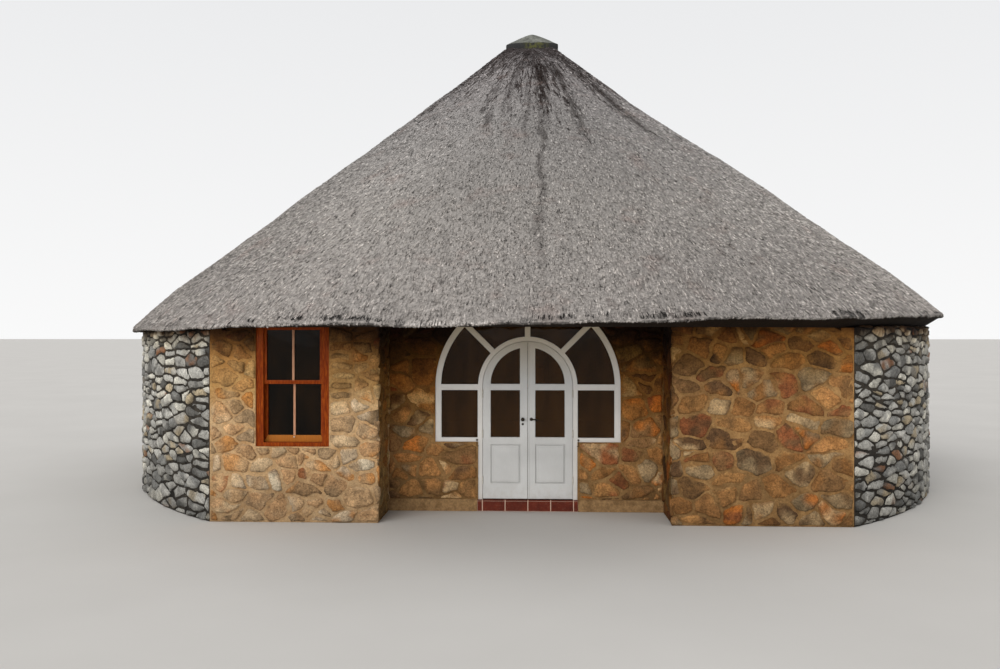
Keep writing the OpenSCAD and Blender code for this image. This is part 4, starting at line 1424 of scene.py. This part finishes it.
def build_entrance(paint, leaf_paint, glass, metal, hinge):
    """The composite arch screen with its two leaves and fittings."""
    for node, name in (("arch_frame", "arch_casing"), ("arch_bars", "arch_glazing_bars"),
                       ("door_frame", "door_casing")):
        bevelled(node, name, FRAME_EASE, paint)
    light = rectangle(DOOR_R, ARCH_R - ARCH_W, DADO_Z + SILL_RAIL, BAR_Z - BAR_W / 2)
    beads = [bead_loop(loop, OVOLO, JOIN_Y + SCREEN_BEAD_SUNK, 1) for loop in (light, mirrored(light))]
    mesh_piece("side_light_beads", *joined(beads), paint, "white_timber", smooth=False)
    for side in ("left", "right"):
        build_leaf(side, leaf_paint)
    dress(["arch_glass", "door_glass_left", "door_glass_right"], glass)
    dress(["hinge_frame_halves", "hinge_leaf_left", "hinge_leaf_right"], hinge)
    dress(["door_knob", "door_lever", "holdback_hooks"], metal)


def in_window(points, angle):
    """Points in a window's own frame: x along the wall from its middle, z over its opening's foot."""
    if angle is None:
        return points - np.array([WIN_X, FRONT_Y, WIN_Z])
    turn = math.radians(angle + 90)
    x = points[:, 0] * math.cos(turn) + points[:, 1] * math.sin(turn)
    y = -points[:, 0] * math.sin(turn) + points[:, 1] * math.cos(turn)
    return np.column_stack([x, y, points[:, 2] - WIN_Z])


def mark_bleach_and_highlight(piece):
    """Marks the faces of the upright glazing bars, which the weather has bleached, and of the bottom rails,
    which get a painted highlight.
    """
    mesh = piece.data
    points = np.array([vertex.co for vertex in mesh.vertices])
    bleach_and_highlight = np.zeros(len(points))
    for angle, height in WINDOWS:
        x, y, z = in_window(points, angle).T
        bar = (np.abs(x) < SASH_BAR_HALF) & (z > 0.1) & (z < height - 0.1)
        rail = (np.abs(x) < WIN_W / 2) & (z > 0) & (z < SASH_RAIL_TOP)
        outside = np.abs(y) < 0.3 if angle is None else y < 0
        mark = np.where(bar, BLEACHED_BAR, np.where(rail, RAIL_HIGHLIGHT, 0.0))
        bleach_and_highlight = np.maximum(bleach_and_highlight, np.where(outside, mark, 0.0))
    marks = []
    for polygon in mesh.polygons:
        marks += [bleach_and_highlight[list(polygon.vertices)].min()] * polygon.loop_total
    tint(piece, marks, "bleached", "CORNER")


def build_windows(varnish, glass):
    """The four sash windows."""
    bevelled("window_frames", "window_casings", FRAME_EASE, varnish)
    for node in ("upper_sashes", "lower_sashes"):
        mark_bleach_and_highlight(bevelled(node, "window_" + node, SASH_EASE, varnish))
    dress(["window_glass"], glass)
    pull = Finish("white_porcelain", 0.2, srgb(226, 222, 212))
    pull.lumps(0.0005, 60)
    dress(["window_pulls"], pull.done())


def block(x0, x1, y0, y1, z0, z1, ease=0.003):
    """Points and quads of a box whose front edges are eased."""
    def level(y, inwards):
        return np.insert(offset_loop(rectangle(x0, x1, z0, z1), inwards), 1, y, axis=1)
    points = np.vstack([level(y1, 0), level(y0 + ease, 0), level(y0, ease)])
    return points, np.vstack([[(3, 2, 1, 0)], ring_faces(3, 4), [(8, 9, 10, 11)]])


# Joints between the tiles: one at every tile's width, and cut tiles at both ends of the step
TILE_W = 0.2895
TILE_FIRST = -0.576
TILE_EDGES = (-STEP_HALF, *(TILE_FIRST + TILE_W * number for number in range(5)), STEP_HALF)
TILE_JOINT = 0.012
TILE_T = 0.012


def build_step(tiles):
    """Tiles on the step's face and on its tread, over a mortar bed."""
    bed = Finish("step_bed", 0.95, srgb(196, 166, 146))
    bed.lumps(0.002, 120)
    front = RECESS_Y - STEP_PROUD
    half = STEP_HALF - 0.003
    seam = RECESS_Y + 0.01
    core = block(-half, half, front + 0.004, seam, 0.0, FLOOR_Z - 0.004)
    deep = block(-DOOR_R, DOOR_R, seam, RECESS_Y + PORCH_T, 0.0, FLOOR_Z - 0.0005)
    base = mesh_piece("step_bed", *joined([core, deep]), bed.done(), "tiles", smooth=False)
    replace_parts(base, "entrance_step")
    draw = random.Random(9)
    parts, shades = [], []
    gap = TILE_JOINT / 2
    tread = FLOOR_Z - TILE_T
    for x0, x1 in zip(TILE_EDGES, TILE_EDGES[1:]):
        parts.append(block(x0 + gap, x1 - gap, front, front + TILE_T, 0.006, tread - 0.004))
        parts.append(block(x0 + gap, x1 - gap, front - 0.001, JOIN_Y + 0.06, tread, FLOOR_Z))
        shades += [draw.uniform(0.85, 1.15)] * (len(parts[-1][0]) + len(parts[-2][0]))
    tint(mesh_piece("step_tiles", *joined(parts), tiles, "tiles", smooth=False), shades)


def build_threshold(metal):
    """Dark weather bar on the step, under the leaves."""
    bar = block(-LEAF_R, LEAF_R, JOIN_Y + 0.004, JOIN_Y + 0.04, FLOOR_Z - 0.001, FLOOR_Z + 0.006, 0.002)
    mesh_piece("weather_bar", *bar, metal, "dark_metal", smooth=False)


# Light, floor and camera

FLOOR_HALF = 400.0
FLOOR_LOW = 0.002
SKY_LOW = (1.12, 1.12, 1.12, 1)
SKY_HIGH = (0.9, 0.91, 0.93, 1)
SKY_STRENGTH = 0.85
LAMP_STRENGTH = 1.5
LAMP_COLOUR = (1.0, 0.98, 0.95)
LAMP_WIDTH = math.radians(50)
LAMP_TURN = (math.radians(62), 0, math.radians(-28))


def build_floor():
    """Pale floor a little under the house."""
    finish = Finish("pale_floor", 0.9)
    finish.paint = finish.ramp(finish.noise(0.4), (0.3, srgb(198, 195, 190)),
                               (0.7, srgb(203, 200, 195)))
    mesh = bpy.data.meshes.new("floor")
    corners = rectangle(-FLOOR_HALF, FLOOR_HALF, -FLOOR_HALF, FLOOR_HALF)
    mesh.from_pydata(np.insert(corners, 2, -FLOOR_LOW, axis=1).tolist(), [], [(0, 1, 2, 3)])
    mesh.materials.append(finish.done())
    add_object("floor", mesh)


def build_light():
    """Soft sky, brighter low down, and one broad lamp."""
    world = bpy.data.worlds.new("soft_sky")
    bpy.context.scene.world = world
    world.use_nodes = True
    nodes, links = world.node_tree.nodes, world.node_tree.links
    direction = nodes.new("ShaderNodeTexCoord")
    parts = nodes.new("ShaderNodeSeparateXYZ")
    ramp = nodes.new("ShaderNodeValToRGB")
    links.new(direction.outputs["Generated"], parts.inputs[0])
    links.new(parts.outputs["Z"], ramp.inputs["Fac"])
    low, high = ramp.color_ramp.elements
    low.color = SKY_LOW
    high.color = SKY_HIGH
    high.position = 0.55
    links.new(ramp.outputs["Color"], nodes["Background"].inputs["Color"])
    nodes["Background"].inputs["Strength"].default_value = SKY_STRENGTH
    lamp = bpy.data.lights.new("high_lamp", "SUN")
    lamp.energy = LAMP_STRENGTH
    lamp.angle = LAMP_WIDTH
    lamp.color = LAMP_COLOUR
    add_object("high_lamp", lamp).rotation_euler = LAMP_TURN


def build_camera():
    """The photograph's place and lens."""
    eye = bpy.data.cameras.new("camera")
    eye.sensor_width = SENSOR_MM
    eye.lens = FOCAL_PX * SENSOR_MM / IMAGE_W
    eye.clip_end = 1000
    camera = add_object("camera", eye)
    camera.location = CAMERA_PLACE
    camera.rotation_euler = (math.radians(90), 0, CAMERA_YAW)
    bpy.context.scene.camera = camera
    bpy.context.scene.view_settings.view_transform = "Standard"


def build_house():
    """All pieces of the house."""
    dress_walls()
    stone = stone_finish("front_sandstone", srgb(122, 90, 58), front_shade_and_foot)
    build_front_stones(stone)
    build_porch_stones(stone)
    build_round_stones()
    thatch = thatch_finish()
    build_thatch_coat(thatch)
    build_straw(thatch)
    build_fringe(thatch)
    build_cap()
    poles = pole_finish()
    dress(["rafters_long", "rafters_short", "king_boss"], poles)
    paint = white_paint_finish("frame_paint", srgb(228, 225, 220), srgb(240, 237, 232), srgb(222, 200, 158))
    leaf_paint = white_paint_finish("leaf_paint", srgb(214, 214, 212), srgb(226, 226, 224),
                                    srgb(208, 184, 136))
    glass = glass_finish("pane_glass", srgb(108, 74, 36), srgb(140, 98, 52))
    bronze = metal_finish("dark_bronze", srgb(44, 40, 36), 0.45, srgb(96, 84, 66))
    hinge = metal_finish("hinge_steel", srgb(206, 202, 192), 0.5, srgb(150, 132, 110), 0.1)
    build_entrance(paint, leaf_paint, glass, bronze, hinge)
    build_windows(varnish_finish(), glass_finish("window_pane", srgb(34, 24, 8), srgb(78, 52, 20)))
    build_step(tile_finish())
    build_threshold(bronze)
    dress(["floor_slab"], screed_finish())
    dress(["plinth_strip"], cement_finish("foot_plaster", srgb(160, 126, 84), srgb(122, 92, 56)).done())
    build_laths(poles)


build_floor()
build_light()
build_camera()
build_house()
